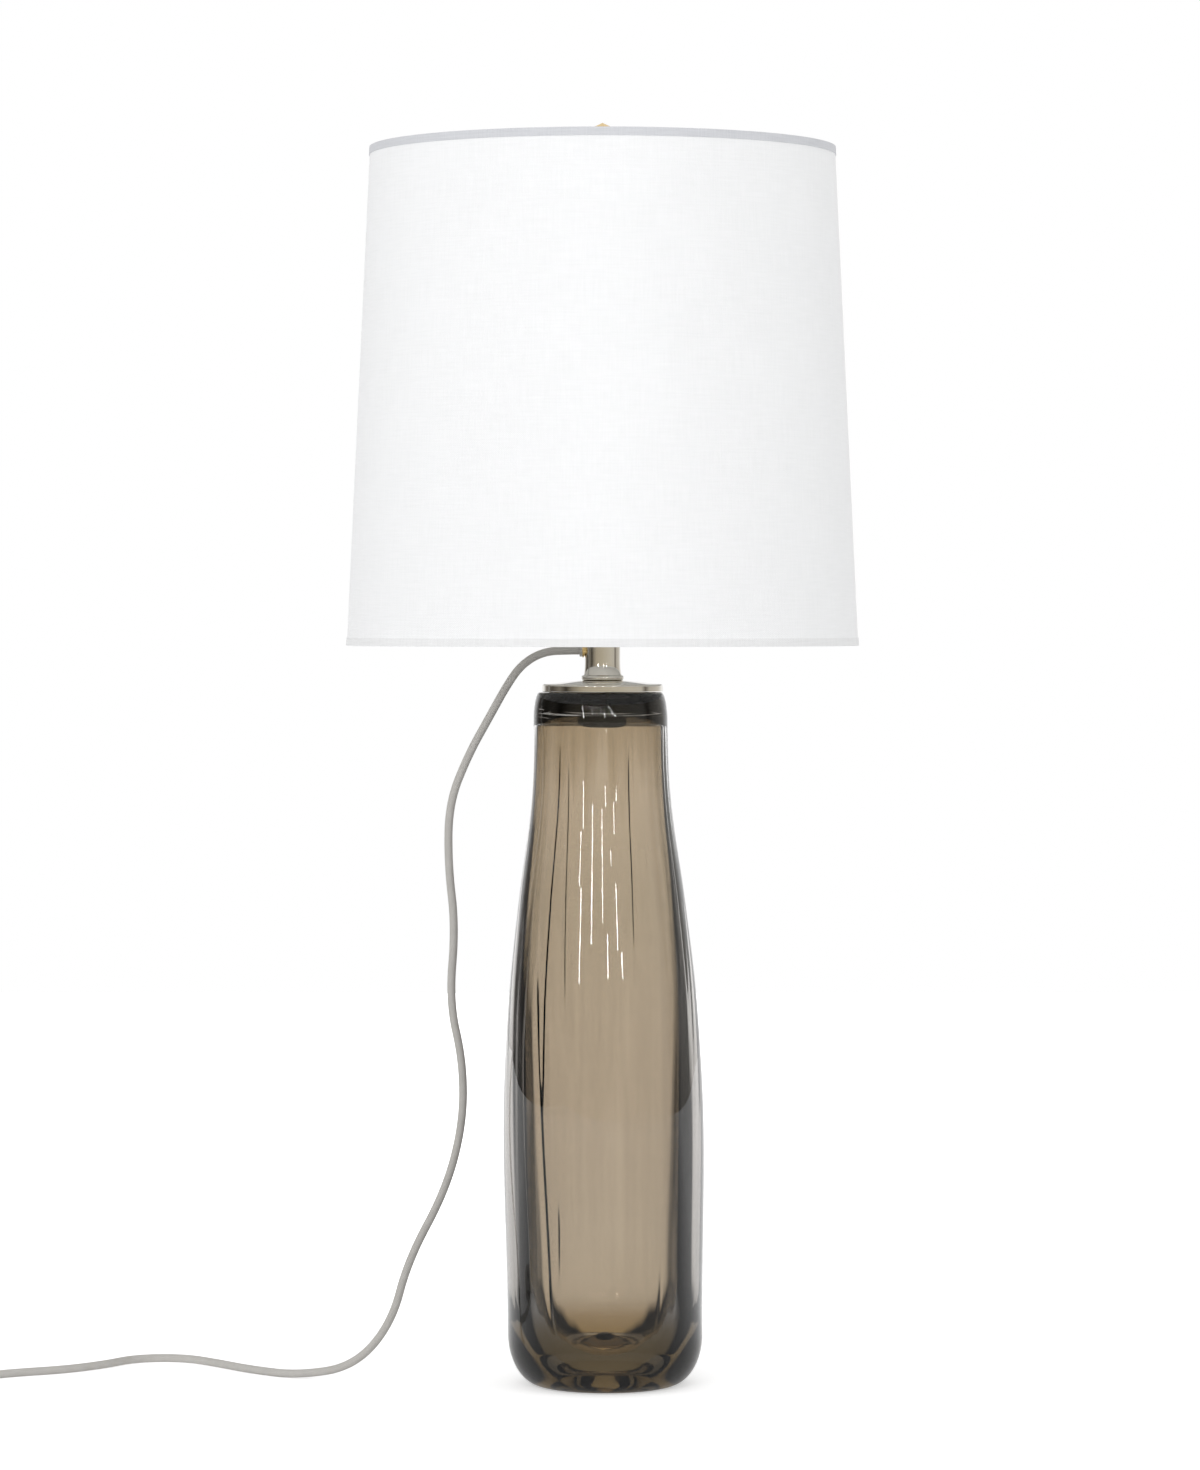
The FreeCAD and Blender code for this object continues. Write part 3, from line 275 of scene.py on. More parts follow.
def braid_tree():
    """Geometry nodes: a round tube along a curve, its rings and sides raised in turn as crowns."""
    tree = bpy.data.node_groups.new("braided_sleeve", "GeometryNodeTree")
    for name, kind in (
        ("Line", "NodeSocketGeometry"),
        ("Radius", "NodeSocketFloat"),
        ("Ring Step", "NodeSocketFloat"),
        ("Sides", "NodeSocketInt"),
        ("Crown Height", "NodeSocketFloat"),
        ("Braid", "NodeSocketMaterial"),
    ):
        tree.interface.new_socket(name, in_out="INPUT", socket_type=kind)
    tree.interface.new_socket("Sleeve", in_out="OUTPUT", socket_type="NodeSocketGeometry")
    graph = Graph(tree)
    given = graph.node("NodeGroupInput")
    radius = given.other("Radius")
    ring_step = given.other("Ring Step")
    sides = given.other("Sides")
    rings = graph.node(
        "GeometryNodeResampleCurve", {"Curve": given, "Length": ring_step}, mode="LENGTH"
    )
    length_along = graph.node("GeometryNodeSplineParameter", out="Length")
    marked = graph.node(
        "GeometryNodeStoreNamedAttribute",
        {"Geometry": rings, "Name": "along", "Value": length_along},
        data_type="FLOAT",
        domain="POINT",
    )
    section = graph.node(
        "GeometryNodeCurvePrimitiveCircle", {"Resolution": sides, "Radius": radius}
    )
    share_around = graph.node("GeometryNodeSplineParameter", out="Factor")
    marked_section = graph.node(
        "GeometryNodeStoreNamedAttribute",
        {"Geometry": section, "Name": "around", "Value": share_around},
        data_type="FLOAT",
        domain="POINT",
    )
    tube = graph.node(
        "GeometryNodeCurveToMesh",
        {"Curve": marked, "Profile Curve": marked_section, "Fill Caps": True},
    )
    along = graph.node("GeometryNodeInputNamedAttribute", {"Name": "along"}, data_type="FLOAT")
    around = graph.node("GeometryNodeInputNamedAttribute", {"Name": "around"}, data_type="FLOAT")
    ring_number = (along / ring_step).math("ROUND")
    side_number = (around * sides).math("ROUND")
    crown = (ring_number + side_number).math("MODULO", 2.0) - 0.5
    normal = graph.node("GeometryNodeInputNormal")
    lift = graph.node(
        "ShaderNodeVectorMath",
        {0: normal, "Scale": crown * given.other("Crown Height")},
        operation="SCALE",
    )
    raised = graph.node("GeometryNodeSetPosition", {"Geometry": tube, "Offset": lift})
    smooth = graph.node("GeometryNodeSetShadeSmooth", {"Geometry": raised})
    real = graph.node("GeometryNodeRealizeInstances", {"Geometry": smooth})
    dressed = graph.node(
        "GeometryNodeSetMaterial", {"Geometry": real, "Material": given.other("Braid")}
    )
    graph.node("NodeGroupOutput", {0: dressed})
    return tree


def grown(name, source, tree, inputs):
    """A plain mesh object of what a geometry tree makes of a source object's data."""
    seed = bpy.data.objects.new(name + "_seed", source)
    bpy.context.scene.collection.objects.link(seed)
    modifier = seed.modifiers.new("grow", "NODES")
    modifier.node_group = tree
    sockets = {item.name: item.identifier for item in tree.interface.items_tree}
    for key, value in inputs.items():
        modifier[sockets[key]] = value
    bpy.context.view_layer.update()
    seen = seed.evaluated_get(bpy.context.evaluated_depsgraph_get())
    mesh = bpy.data.meshes.new_from_object(seen)
    bpy.data.objects.remove(seed)
    mesh.name = name
    piece = bpy.data.objects.new(name, mesh)
    bpy.context.scene.collection.objects.link(piece)
    return piece


def line_points(curve):
    """The points of a curve's own line, in order."""
    probe = bpy.data.objects.new("cord_probe", curve)
    bpy.context.scene.collection.objects.link(probe)
    bpy.context.view_layer.update()
    seen = probe.evaluated_get(bpy.context.evaluated_depsgraph_get())
    mesh = bpy.data.meshes.new_from_object(seen)
    points = [list(vertex.co) for vertex in mesh.vertices]
    bpy.data.objects.remove(probe)
    return points


cord_line = cord_curve()
cord_path = line_points(cord_line)
cord = grown("braided_cord", cord_line, braid_tree(), {
    "Radius": cord_radius - braid_depth / 2,
    "Ring Step": braid_step,
    "Sides": 2 * braid_crowns,
    "Crown Height": braid_depth,
    "Braid": braid_finish(),
})
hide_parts("cord", "cord_coil")
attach(cord, "stand")

# ---------------------------------------------------------------- plug
# A moulded two-blade plug in ivory plastic with a grooved strain relief, and stamped brass blades
# pierced near their tips.


def ivory_finish():
    """Moulded plastic with a faint spark-eroded grain."""
    finish = Finish("ivory_plastic", (0.80, 0.77, 0.68), roughness=0.42)
    grain = finish.noise(2600.0, 2.0)
    tint = finish.noise(45.0)
    finish.feed("Base Color", finish.blend(tint, (0.76, 0.73, 0.64), (0.83, 0.80, 0.71)))
    finish.feed("Roughness", grain * 0.16 + 0.36)
    finish.bump(grain, 0.00003, 0.5)
    return finish.material


def metal_finish(name, dull, bright, roughness, grain_scale, grain_depth):
    """Metal whose tone and gloss vary a little, with fine grain left by its making."""
    finish = Finish(name, bright, metallic=1.0, roughness=roughness)
    cloud = finish.noise(60.0, 3.0)
    grain = finish.noise(grain_scale, 2.0)
    finish.feed("Base Color", finish.blend(cloud, dull, bright))
    finish.feed("Roughness", cloud * roughness * 0.6 + grain * roughness * 0.4 + roughness * 0.5)
    finish.bump(grain, grain_depth, 0.5)
    return finish.material


def dress(finish, *names):
    """Gives CAD nodes a finish."""
    for name in names:
        slots = nodes[name].data.materials
        slots.clear()
        slots.append(finish)


dress(ivory_finish(), "plug_body", "plug_strain_relief")
blade_brass = metal_finish(
    "blade_brass", (0.66, 0.53, 0.28), (0.80, 0.67, 0.40), 0.28, 900.0, 0.00002
)
dress(blade_brass, "plug_blades")

# ---------------------------------------------------------------- glass body
# A heavy bottle blown by hand: smoky brown glass round the hollow, cased in clear glass that is
# thin at the shoulder and thick at the foot, hollowed and fire-polished underneath.

glass_height = 0.378
kick_radius = 0.026
kick_depth = 0.005
foot_radius = 0.0353
foot_round_height = 0.028
side_stations = [           # outside radius at a height, from the heel to the shoulder
    (0.0533, 0.0280),
    (0.0549, 0.1400),
    (0.0516, 0.2090),
    (0.0456, 0.2641),
    (0.0383, 0.3180),
    (0.0366, 0.3620),
]
rim_round_width = 0.0034
rim_round_height = 0.0166   # the rim stands a little proud round the gasket
gasket_seat_radius = 0.0295
mouth_radius = 0.014
mouth_floor = 0.373
hollow_shoulder_height = 0.014
hollow_stations = [         # hollow's radius at a height, from its shoulder down
    (0.0336, 0.3590),
    (0.0350, 0.3180),
    (0.0398, 0.2641),
    (0.0424, 0.2090),
    (0.0408, 0.1400),
    (0.0390, 0.0590),
]
hollow_floor = 0.014
hollow_round_width = 0.024
hollow_round_height = 0.045
punt_height = 0.008
glass_sides = 400
glass_lean = (0.0016, -0.0012)  # aside at the foot and at the mouth, as blown by hand
ripple_depth = 0.00030
creases = [                 # of the hollow's wall: way round, twist, width, depth, from and to
    (-2.36, 0.20, 0.020, 0.00085, 0.15, 0.362),
    (-2.05, -0.16, 0.018, 0.00060, 0.19, 0.360),
    (-1.17, 0.14, 0.020, 0.00080, 0.22, 0.362),
    (-2.44, -0.30, 0.026, 0.00090, 0.03, 0.230),
    (-2.15, 0.12, 0.022, 0.00050, 0.05, 0.120),
    (-0.75, 0.20, 0.022, 0.00045, 0.03, 0.070),
    (0.75, 0.25, 0.040, 0.00040, 0.06, 0.330),
    (2.30, -0.25, 0.050, 0.00040, 0.03, 0.340),
]
ridges = [                  # the same for the short bright ridges in front
    (-1.80, 0.10, 0.022, 0.00030, 0.205, 0.285),
    (-1.71, -0.08, 0.020, 0.00026, 0.250, 0.305),
    (-1.63, 0.06, 0.020, 0.00026, 0.190, 0.235),
    (-1.53, -0.10, 0.022, 0.00030, 0.215, 0.300),
    (-1.43, 0.08, 0.020, 0.00028, 0.195, 0.265),
    (-1.36, -0.05, 0.020, 0.00024, 0.245, 0.295),
    (-1.55, 0.10, 0.020, 0.00024, 0.060, 0.085),
    (-1.66, -0.20, 0.020, 0.00024, 0.045, 0.066),
]
smoke_by_height = [         # share of light that passes the smoky layer once, from foot to mouth
    (0.00, (0.84, 0.71, 0.52)),
    (0.15, (0.825, 0.70, 0.52)),
    (0.41, (0.60, 0.495, 0.36)),
    (0.555, (0.465, 0.378, 0.268)),
    (0.70, (0.358, 0.29, 0.20)),
    (0.85, (0.352, 0.279, 0.192)),
    (0.93, (0.265, 0.198, 0.118)),
    (1.00, (0.24, 0.175, 0.10)),
]
gather_by_height = [        # the same for the outside, darker and browner towards the foot
    (0.00, (0.53, 0.38, 0.15)),
    (0.05, (0.53, 0.42, 0.25)),
    (0.10, (0.72, 0.70, 0.67)),
    (0.22, (0.88, 0.88, 0.88)),
    (0.36, (1.0, 1.0, 1.0)),
]
casing_tint = (0.27, 0.235, 0.20)
casing_density = 40.0
streak_scale = (160.0, 160.0, 3.0)
streak_strength = 0.3


def arc_points(centre, width, height, start, end, count):
    """Points of a quarter ellipse, angles in quarter turns from +r towards +z."""
    turns = np.linspace(start, end, count) * math.pi / 2
    return [(centre[0] + width * math.cos(t), centre[1] + height * math.sin(t)) for t in turns]


def stations_curve(stations, start_slope, count):
    """Smooth curve through (radius, height) stations, upright at its last one."""
    radii = np.array([r for r, _ in stations])
    heights = np.array([z for _, z in stations])
    slopes = np.empty(len(stations))
    slopes[0] = start_slope
    slopes[-1] = 0
    slopes[1:-1] = np.diff(radii)[:-1] + np.diff(radii)[1:]
    slopes[1:-1] /= np.diff(heights)[:-1] + np.diff(heights)[1:]
    points = []
    for i in range(len(stations) - 1):
        rise = heights[i + 1] - heights[i]
        steps = max(3, round(count * abs(rise) / abs(heights[-1] - heights[0])))
        for t in np.linspace(0, 1, steps, endpoint=False):
            r = (2 * t**3 - 3 * t**2 + 1) * radii[i] + (t**3 - 2 * t**2 + t) * rise * slopes[i]
            r += (3 * t**2 - 2 * t**3) * radii[i + 1] + (t**3 - t**2) * rise * slopes[i + 1]
            points.append((r, heights[i] + t * rise))
    points.append((radii[-1], heights[-1]))
    return points


def turned_mesh(name, outline, sides, shift=None):
    """Mesh turned from an outline whose two ends lie on the axis."""
    turns = np.linspace(0, 2 * math.pi, sides, endpoint=False)
    rings = np.array(outline[1:-1])
    low, high = outline[0], outline[-1]
    vertices = np.empty((len(rings), sides, 3))
    vertices[:, :, 0] = rings[:, :1] * np.cos(turns)
    vertices[:, :, 1] = rings[:, :1] * np.sin(turns)
    vertices[:, :, 2] = rings[:, 1:]
    if shift:
        shift(vertices, rings, turns)
    points = [tuple(v) for v in vertices.reshape(-1, 3)]
    first, last = len(points), len(points) + 1
    points += [(*vertices[0, :, :2].mean(0), low[1]), (*vertices[-1, :, :2].mean(0), high[1])]
    faces = []
    for j in range(sides):
        after = (j + 1) % sides
        faces.append((first, after, j))
        for i in range(len(rings) - 1):
            row = i * sides
            faces.append((row + j, row + after, row + sides + after, row + sides + j))
        row = (len(rings) - 1) * sides
        faces.append((row + j, row + after, last))
    mesh = bpy.data.meshes.new(name)
    mesh.from_pydata(points, [], faces)
    mesh.shade_smooth()
    piece = bpy.data.objects.new(name, mesh)
    bpy.context.scene.collection.objects.link(piece)
    return piece


def outside_outline():
    """From the underside's middle, up the outside and over the ground rim."""
    dome = (kick_radius**2 + kick_depth**2) / (2 * kick_depth)
    kick = [
        (r, kick_depth - dome + math.sqrt(dome**2 - r**2))
        for r in np.linspace(0, kick_radius, 8)
    ]
    heel, shoulder = side_stations[0], side_stations[-1]
    foot = arc_points((foot_radius, heel[1]), heel[0] - foot_radius, foot_round_height, -1, 0, 16)
    side = stations_curve(side_stations, 0, 70)
    rim = arc_points(
        (shoulder[0] - rim_round_width, shoulder[1]), rim_round_width, rim_round_height, 0, 1, 10
    )
    return kick + foot + side[1:] + rim[1:] + [(gasket_seat_radius, glass_height)]


def hollow_outline():
    """From the mouth's edge down the hollow to the soft rise in its floor."""
    top, wide = hollow_stations[0], hollow_stations[-1]
    mouth = [(mouth_radius, glass_height), (mouth_radius, (glass_height + mouth_floor) / 2)]
    shoulder = arc_points(
        (mouth_radius, top[1]), top[0] - mouth_radius, hollow_shoulder_height, 1, 0, 16
    )
    side = stations_curve(hollow_stations, 0, 76)
    flat = wide[0] - hollow_round_width
    floor = arc_points((flat, wide[1]), hollow_round_width, hollow_round_height, 0, -1, 18)
    rise = [
        (flat * (1 - t), hollow_floor + punt_height * (3 * t**2 - 2 * t**3))
        for t in np.linspace(0, 1, 10)
    ]
    return mouth + shoulder + side[1:] + floor[1:] + rise[1:]


def blown(vertices, rings, turns):
    """Leans the hot bottle a little and gives its hollow the ripples and creases of blown glass."""
    radii = rings[:, 0]
    heights = rings[:, 1]
    share = heights / glass_height
    inside = np.arange(len(rings)) >= len(outside_outline()) - 1
    ease = inside * np.clip((heights - hollow_floor) / 0.03, 0, 1)
    ease = ease * np.clip((mouth_floor - heights) / 0.03, 0, 1)
    around = turns[None, :]
    up = share[:, None]
    push = ripple_depth * (
        np.cos(2 * around + 2 * up)
        + 0.5 * np.cos(3 * around + 4 * up)
        + 0.3 * np.cos(7 * around - 5 * up + 1)
        + 0.10 * np.sin(23 * around + 4 * up)
        + 0.05 * np.sin(41 * around - 6 * up)
    )
    marks = [(0.03, crease) for crease in creases] + [(0.008, ridge) for ridge in ridges]
    for ease_in, (middle, twist, width, depth, low, high) in marks:
        fade = np.clip((heights - low) / ease_in, 0, 1) * np.clip((high - heights) / ease_in, 0, 1)
        apart = around - middle - twist * (up - 0.5)
        apart = (apart + math.pi) % (2 * math.pi) - math.pi
        push = push - depth * fade[:, None] * np.exp(-((apart / width) ** 2))
    grow = 1 + ease[:, None] * push / np.maximum(radii, 0.01)[:, None]
    vertices[:, :, 0] *= grow
    vertices[:, :, 1] *= grow
    vertices[:, :, 0] += (glass_lean[0] + share * (glass_lean[1] - glass_lean[0]))[:, None]


def glass_finish():
    """Clear casing that greys with depth, and a smoky layer at the hollow in upright streaks."""
    finish = Finish("smoky_glass", (1, 1, 1), roughness=0.0, ior=1.52, transmission_weight=1.0)
    absorb = finish.node(
        "ShaderNodeVolumeAbsorption", {"Color": (*casing_tint, 1), "Density": casing_density}
    )
    output = finish.tree.nodes["Material Output"]
    finish.tree.links.new(absorb.socket, output.inputs["Volume"])
    split = finish.node("ShaderNodeSeparateXYZ", {"Vector": finish.place()})
    height = split.other("Z") / glass_height
    drawn = finish.node(
        "ShaderNodeVectorMath", {0: finish.place(), 1: streak_scale}, operation="MULTIPLY"
    )
    streaks = finish.noise(1.0, 3.0, drawn) - 0.5
    smoke = finish.node(
        "ShaderNodeValToRGB", {"Fac": height + streaks * streak_strength}, stops=smoke_by_height
    )
    hollow = finish.node("ShaderNodeAttribute", out="Fac", attribute_name="hollow")
    gather = finish.node("ShaderNodeValToRGB", {"Fac": height}, stops=gather_by_height)
    finish.feed("Base Color", finish.blend(hollow, gather, smoke))
    return finish.material


glass = turned_mesh("glass_bottle", outside_outline() + hollow_outline(), glass_sides, blown)
glass.data.materials.append(glass_finish())
outside_points = (len(outside_outline()) - 1) * glass_sides
marks = glass.data.attributes.new("hollow", "FLOAT", "POINT")
inside_marks = np.arange(len(glass.data.vertices)) >= outside_points
inside_marks[-2] = False
marks.data.foreach_set("value", inside_marks.astype(np.float32))
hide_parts("glass_body")
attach(glass, "stand")

# ---------------------------------------------------------------- stopper
# A black rubber plug, drawn up in the mouth by a zinc-plated washer and nut on a hollow threaded
# pipe, with a rubber gasket between the glass rim and the cap.


def rubber_finish(name, deep, worn):
    """Matt moulded rubber with a fine bloom."""
    finish = Finish(name, deep, roughness=0.7)
    bloom = finish.noise(160.0, 4.0)
    finish.feed("Base Color", finish.blend(bloom, deep, worn))
    finish.bump(finish.noise(1800.0), 0.00004, 0.5)
    return finish.material


dress(rubber_finish("black_rubber", (0.022, 0.022, 0.023), (0.05, 0.05, 0.05)), "mouth_plug")
dress(rubber_finish("gasket_rubber", (0.14, 0.10, 0.06), (0.20, 0.15, 0.095)), "cap_gasket")
zinc = metal_finish("zinc_plate", (0.52, 0.52, 0.53), (0.68, 0.68, 0.70), 0.34, 1400.0, 0.00002)
dress(zinc, "plug_washer", "plug_nut")
brass = metal_finish("turned_brass", (0.62, 0.43, 0.17), (0.80, 0.60, 0.29), 0.22, 1100.0, 0.00002)
dress(brass, "lower_pipe", "upper_pipe", "neck_lower_bush", "neck_upper_bush")

# ---------------------------------------------------------------- cap and neck
# A turned cap with a low dome, a half-round collar and a tubular neck, all polished and nickel
# plated, with a trim ring under the harp.

nickel = metal_finish(
    "polished_nickel", (0.70, 0.67, 0.61), (0.80, 0.78, 0.73), 0.07, 500.0, 0.000004
)
dress(nickel, "vase_cap", "stem_collar", "neck_tube", "check_ring")

# ---------------------------------------------------------------- cord outlet
# A brass ring let into the neck's left side, with a clear plastic insert that keeps the cord off
# the metal.


def clear_finish():
    """Clear moulded plastic, a little milky."""
    finish = Finish(
        "clear_plastic", (0.93, 0.92, 0.88), roughness=0.18, transmission_weight=0.55, ior=1.49
    )
    milk = finish.noise(300.0)
    finish.feed("Base Color", finish.blend(milk, (0.90, 0.88, 0.82), (0.96, 0.95, 0.92)))
    return finish.material


dress(clear_finish(), "outlet_lip")
dress(brass, "outlet_ring")

# ---------------------------------------------------------------- harp
# A bent nickel-plated wire on a stamped steel saddle, held by a locknut, with two drawn sleeves
# that lock its legs and a stud on top for the shade.

bright_wire = metal_finish(
    "bright_wire", (0.66, 0.64, 0.60), (0.80, 0.78, 0.74), 0.16, 900.0, 0.00001
)
dress(bright_wire, "harp_frame", "harp_stud")
dress(zinc, "harp_saddle", "saddle_locknut", "harp_sleeve_left", "harp_sleeve_right")

# ---------------------------------------------------------------- lampholder
# A drawn brass cup and shell over a card sleeve, a moulded core with the switch, terminal screws
# and the screw shell for the bulb, and a turn knob on a brass shaft.


def phenolic_finish():
    """Dark moulded resin with flow marks."""
    finish = Finish("phenolic", (0.05, 0.035, 0.03), roughness=0.35)
    flow = finish.noise(90.0, 5.0)
    finish.feed("Base Color", finish.blend(flow, (0.03, 0.022, 0.018), (0.075, 0.055, 0.045)))
    finish.feed("Roughness", flow * 0.2 + 0.25)
    return finish.material


def card_finish():
    """Pressed card with short fibres."""
    finish = Finish("pressed_card", (0.45, 0.34, 0.22), roughness=0.9)
    fibres = finish.noise(700.0, 4.0)
    finish.feed("Base Color", finish.blend(fibres, (0.36, 0.27, 0.17), (0.52, 0.40, 0.27)))
    finish.bump(fibres, 0.00008, 0.6)
    return finish.material


holder_brass = metal_finish(
    "drawn_brass", (0.66, 0.49, 0.21), (0.84, 0.66, 0.35), 0.18, 1500.0, 0.00001
)
dress(holder_brass, "holder_cap", "holder_shell")
dress(brass, "screw_shell", "centre_contact", "terminal_screws", "knob_shaft")
dress(phenolic_finish(), "holder_core", "switch_knob")
dress(card_finish(), "holder_card")

# ---------------------------------------------------------------- inner leads
# The cord's two conductors in smooth white insulation, up through the pipe to the screws.


def insulation_finish():
    """Smooth extruded sleeve."""
    finish = Finish("lead_insulation", (0.80, 0.79, 0.76), roughness=0.4)
    tint = finish.noise(120.0)
    finish.feed("Base Color", finish.blend(tint, (0.76, 0.75, 0.71), (0.85, 0.84, 0.81)))
    return finish.material


dress(insulation_finish(), "inner_leads")

# ---------------------------------------------------------------- bulb
# A frosted pear-shaped bulb with a rolled aluminium screw cap, black glass insulation and a lead
# contact.

rolled_thread_pitch = 0.0036


def frosted_finish():
    """Inside-frosted glass, seen as a soft white skin."""
    finish = Finish(
        "frosted_glass", (0.93, 0.92, 0.90), roughness=0.35, coat_weight=0.6, coat_roughness=0.05
    )
    mottle = finish.noise(180.0, 3.0)
    finish.feed("Base Color", finish.blend(mottle, (0.90, 0.89, 0.86), (0.96, 0.955, 0.94)))
    return finish.material


def rolled_cap_finish():
    """Aluminium with a rolled thread that runs round the cap."""
    finish = Finish("rolled_aluminium", (0.74, 0.74, 0.76), metallic=1.0, roughness=0.3)
    split = finish.node("ShaderNodeSeparateXYZ", {"Vector": finish.place()})
    turn = split.other("Y").math("ARCTAN2", split.other("X")) / (2 * math.pi)
    thread = ((split.other("Z") / rolled_thread_pitch + turn) * (2 * math.pi)).math("SINE")
    finish.bump(thread, 0.0004, 1.0)
    finish.feed("Roughness", finish.noise(400.0) * 0.2 + 0.2)
    return finish.material


dress(frosted_finish(), "bulb_glass")
dress(rolled_cap_finish(), "bulb_cap")
dress(phenolic_finish(), "bulb_insulator")
dress(zinc, "bulb_contact")

# ---------------------------------------------------------------- shade
# A drum of fine white linen laid on a white sheet, turned over two wire rings at the rims, with a
# spider of three wires brazed to a washer.

linen_light = (0.950, 0.955, 0.965)
linen_dark = (0.885, 0.893, 0.900)
# the rolled top edge is the same white linen; its grey tones are painted shade on the turned-over
# rim
rolled_painted_shade_light = (0.70, 0.71, 0.74)
rolled_painted_shade_dark = (0.58, 0.59, 0.62)
# the hem is the same white linen; its slightly darker tones are painted shade along the bottom fold
hem_painted_shade_light = (0.89, 0.895, 0.90)
hem_painted_shade_dark = (0.80, 0.805, 0.81)
linen_radius = 0.133        # where the weave's scale is right
thread_pitch = 0.00055


def linen_finish(name, light, dark):
    """Slubbed threads both ways over a plain weave, by height and by the way round the drum."""
    finish = Finish(name, light, roughness=0.85, sheen_weight=0.15, sheen_roughness=0.4)
    split = finish.node("ShaderNodeSeparateXYZ", {"Vector": finish.place()})
    height = split.other("Z")
    around = split.other("Y").math("ARCTAN2", split.other("X")) * linen_radius
    upright = finish.node("ShaderNodeCombineXYZ", {"X": around * 1100, "Y": height * 55, "Z": 0.0})
    level = finish.node("ShaderNodeCombineXYZ", {"X": around * 55, "Y": height * 1100, "Z": 5.0})
    warp = finish.noise(1.0, 3.0, upright)
    weft = finish.noise(1.0, 3.0, level)
    cloud = finish.noise(26.0, 3.0)
    share = (warp * 0.5 + weft * 0.5 - 0.5) * 2.2 + (cloud - 0.5) * 0.5 + 0.5
    finish.feed("Base Color", finish.blend(share, dark, light))
    over = (around * (math.pi / thread_pitch)).math("SINE")
    under = (height * (math.pi / thread_pitch)).math("SINE")
    finish.bump(over * under * 0.5 + warp + weft, 0.00012, 0.55)
    return finish.material


def sheet_finish():
    """Smooth white backing sheet."""
    finish = Finish("white_sheet", (0.93, 0.93, 0.92), roughness=0.45)
    mottle = finish.noise(70.0, 3.0)
    finish.feed("Base Color", finish.blend(mottle, (0.91, 0.91, 0.895), (0.95, 0.95, 0.94)))
    return finish.material


dress(linen_finish("white_linen", linen_light, linen_dark), "shade_linen")
# both rims are the shade's own white linen, darkened with painted shade
dress(linen_finish("rolled_linen_painted_shade", rolled_painted_shade_light, rolled_painted_shade_dark), "shade_top_trim")
dress(linen_finish("hem_linen_painted_shade", hem_painted_shade_light, hem_painted_shade_dark), "shade_bottom_trim")
dress(sheet_finish(), "shade_lining")
dress(zinc, "shade_top_ring", "shade_bottom_ring", "shade_hub", "shade_arms")

# ---------------------------------------------------------------- finial
# Turned and polished brass, screwed on the harp's stud to hold the shade down.

dress(brass, "finial")

# ---------------------------------------------------------------- floor and light
# A white table and a lit white screen behind it. What the glass bends into view beside the screen
# is a dim gap, then a plainly lit room; what the polished metal mirrors is a warm, paler one with a
# dark gap at left.

floor_half = 3.0
sweep_white = (0.90, 0.90, 0.90)
screen_half_angle = 0.45    # of the lit screen behind, seen from the lamp
screen_soft_edge = 0.10
screen_glow = 1.6
gap_half_angle = 1.30       # of the dim gap's far edge
room_glow = 0.36            # share of the screen's, in the room past the gap
dim_room = (0.030, 0.031, 0.034)
open_room = (0.60, 0.60, 0.60)
near_glow, far_glow = 0.45, 1.0          # of the table, as the camera sees it
near_reach, far_reach = 0.35, 1.3        # from the lamp, where those hold
mirrored_front, mirrored_back = 0.05, 0.9
mirrored_from, mirrored_to = -0.1, 0.3   # along Y, from the one tone to the other
lit_table = (0.5, 0.5, 0.5)              # what lights the lamp from below
spark_reach = 2.5
spark_width = 0.05
spark_power = 4.5           # for each metre of length
spark_places = [            # of thin upright lights in front: bearing, height and length
    (-32, 0.90, 0.16),
    (-29, 0.66, 0.30),
    (-19, 1.02, 0.10),
    (-14, 0.79, 0.24),
    (-7, 0.97, 0.09),
    (1, 0.85, 0.26),
    (7, 0.63, 0.14),
    (14, 0.99, 0.15),
    (20, 0.76, 0.20),
    (25, 0.60, 0.10),
]
mirrored_room = [           # share of the full circle from the camera's side by the left, and tone
    (0.00, (0.52, 0.47, 0.37)),
    (0.11, (0.45, 0.40, 0.31)),
    (0.16, (0.28, 0.25, 0.20)),
    (0.205, (0.05, 0.045, 0.035)),
    (0.25, (0.22, 0.20, 0.17)),
    (0.31, (0.09, 0.08, 0.065)),
    (0.38, (0.22, 0.20, 0.18)),
    (0.42, (1.0, 1.0, 1.0)),
    (0.58, (1.0, 1.0, 1.0)),
    (0.63, (0.66, 0.63, 0.58)),
    (0.72, (0.50, 0.47, 0.42)),
    (0.75, (0.16, 0.14, 0.12)),
    (0.78, (0.58, 0.55, 0.49)),
    (0.86, (0.60, 0.56, 0.48)),
    (1.00, (0.52, 0.47, 0.37)),
]


def bearing_of(graph, vector):
    """Angle from +Y towards +X, seen from above."""
    split = graph.node("ShaderNodeSeparateXYZ", {"Vector": vector})
    return split.math("ARCTAN2", split.other("Y"))


def lit_screen(graph, vector):
    """Share of white at a bearing: 1 on the screen, 0 in the gap beside it, some in the room."""
    bearing = bearing_of(graph, vector).math("ABSOLUTE")
    edges = ((screen_half_angle, 1.0, 0.0), (gap_half_angle, 0.0, room_glow))
    screen, room = (
        graph.node("ShaderNodeMapRange", {
            "Value": bearing,
            "From Min": edge - screen_soft_edge,
            "From Max": edge + screen_soft_edge,
            "To Min": before,
            "To Max": after,
        })
        for edge, before, after in edges
    )
    return screen + room


def flat_card(name, corners, finish):
    """A four-cornered sheet that belongs to the setting, not to the lamp."""
    mesh = bpy.data.meshes.new(name)
    mesh.from_pydata(corners, [], [(0, 1, 2, 3)])
    mesh.materials.append(finish)
    piece = bpy.data.objects.new(name, mesh)
    bpy.context.scene.collection.objects.link(piece)
    return piece


def grey(tone):
    return (tone, tone, tone)


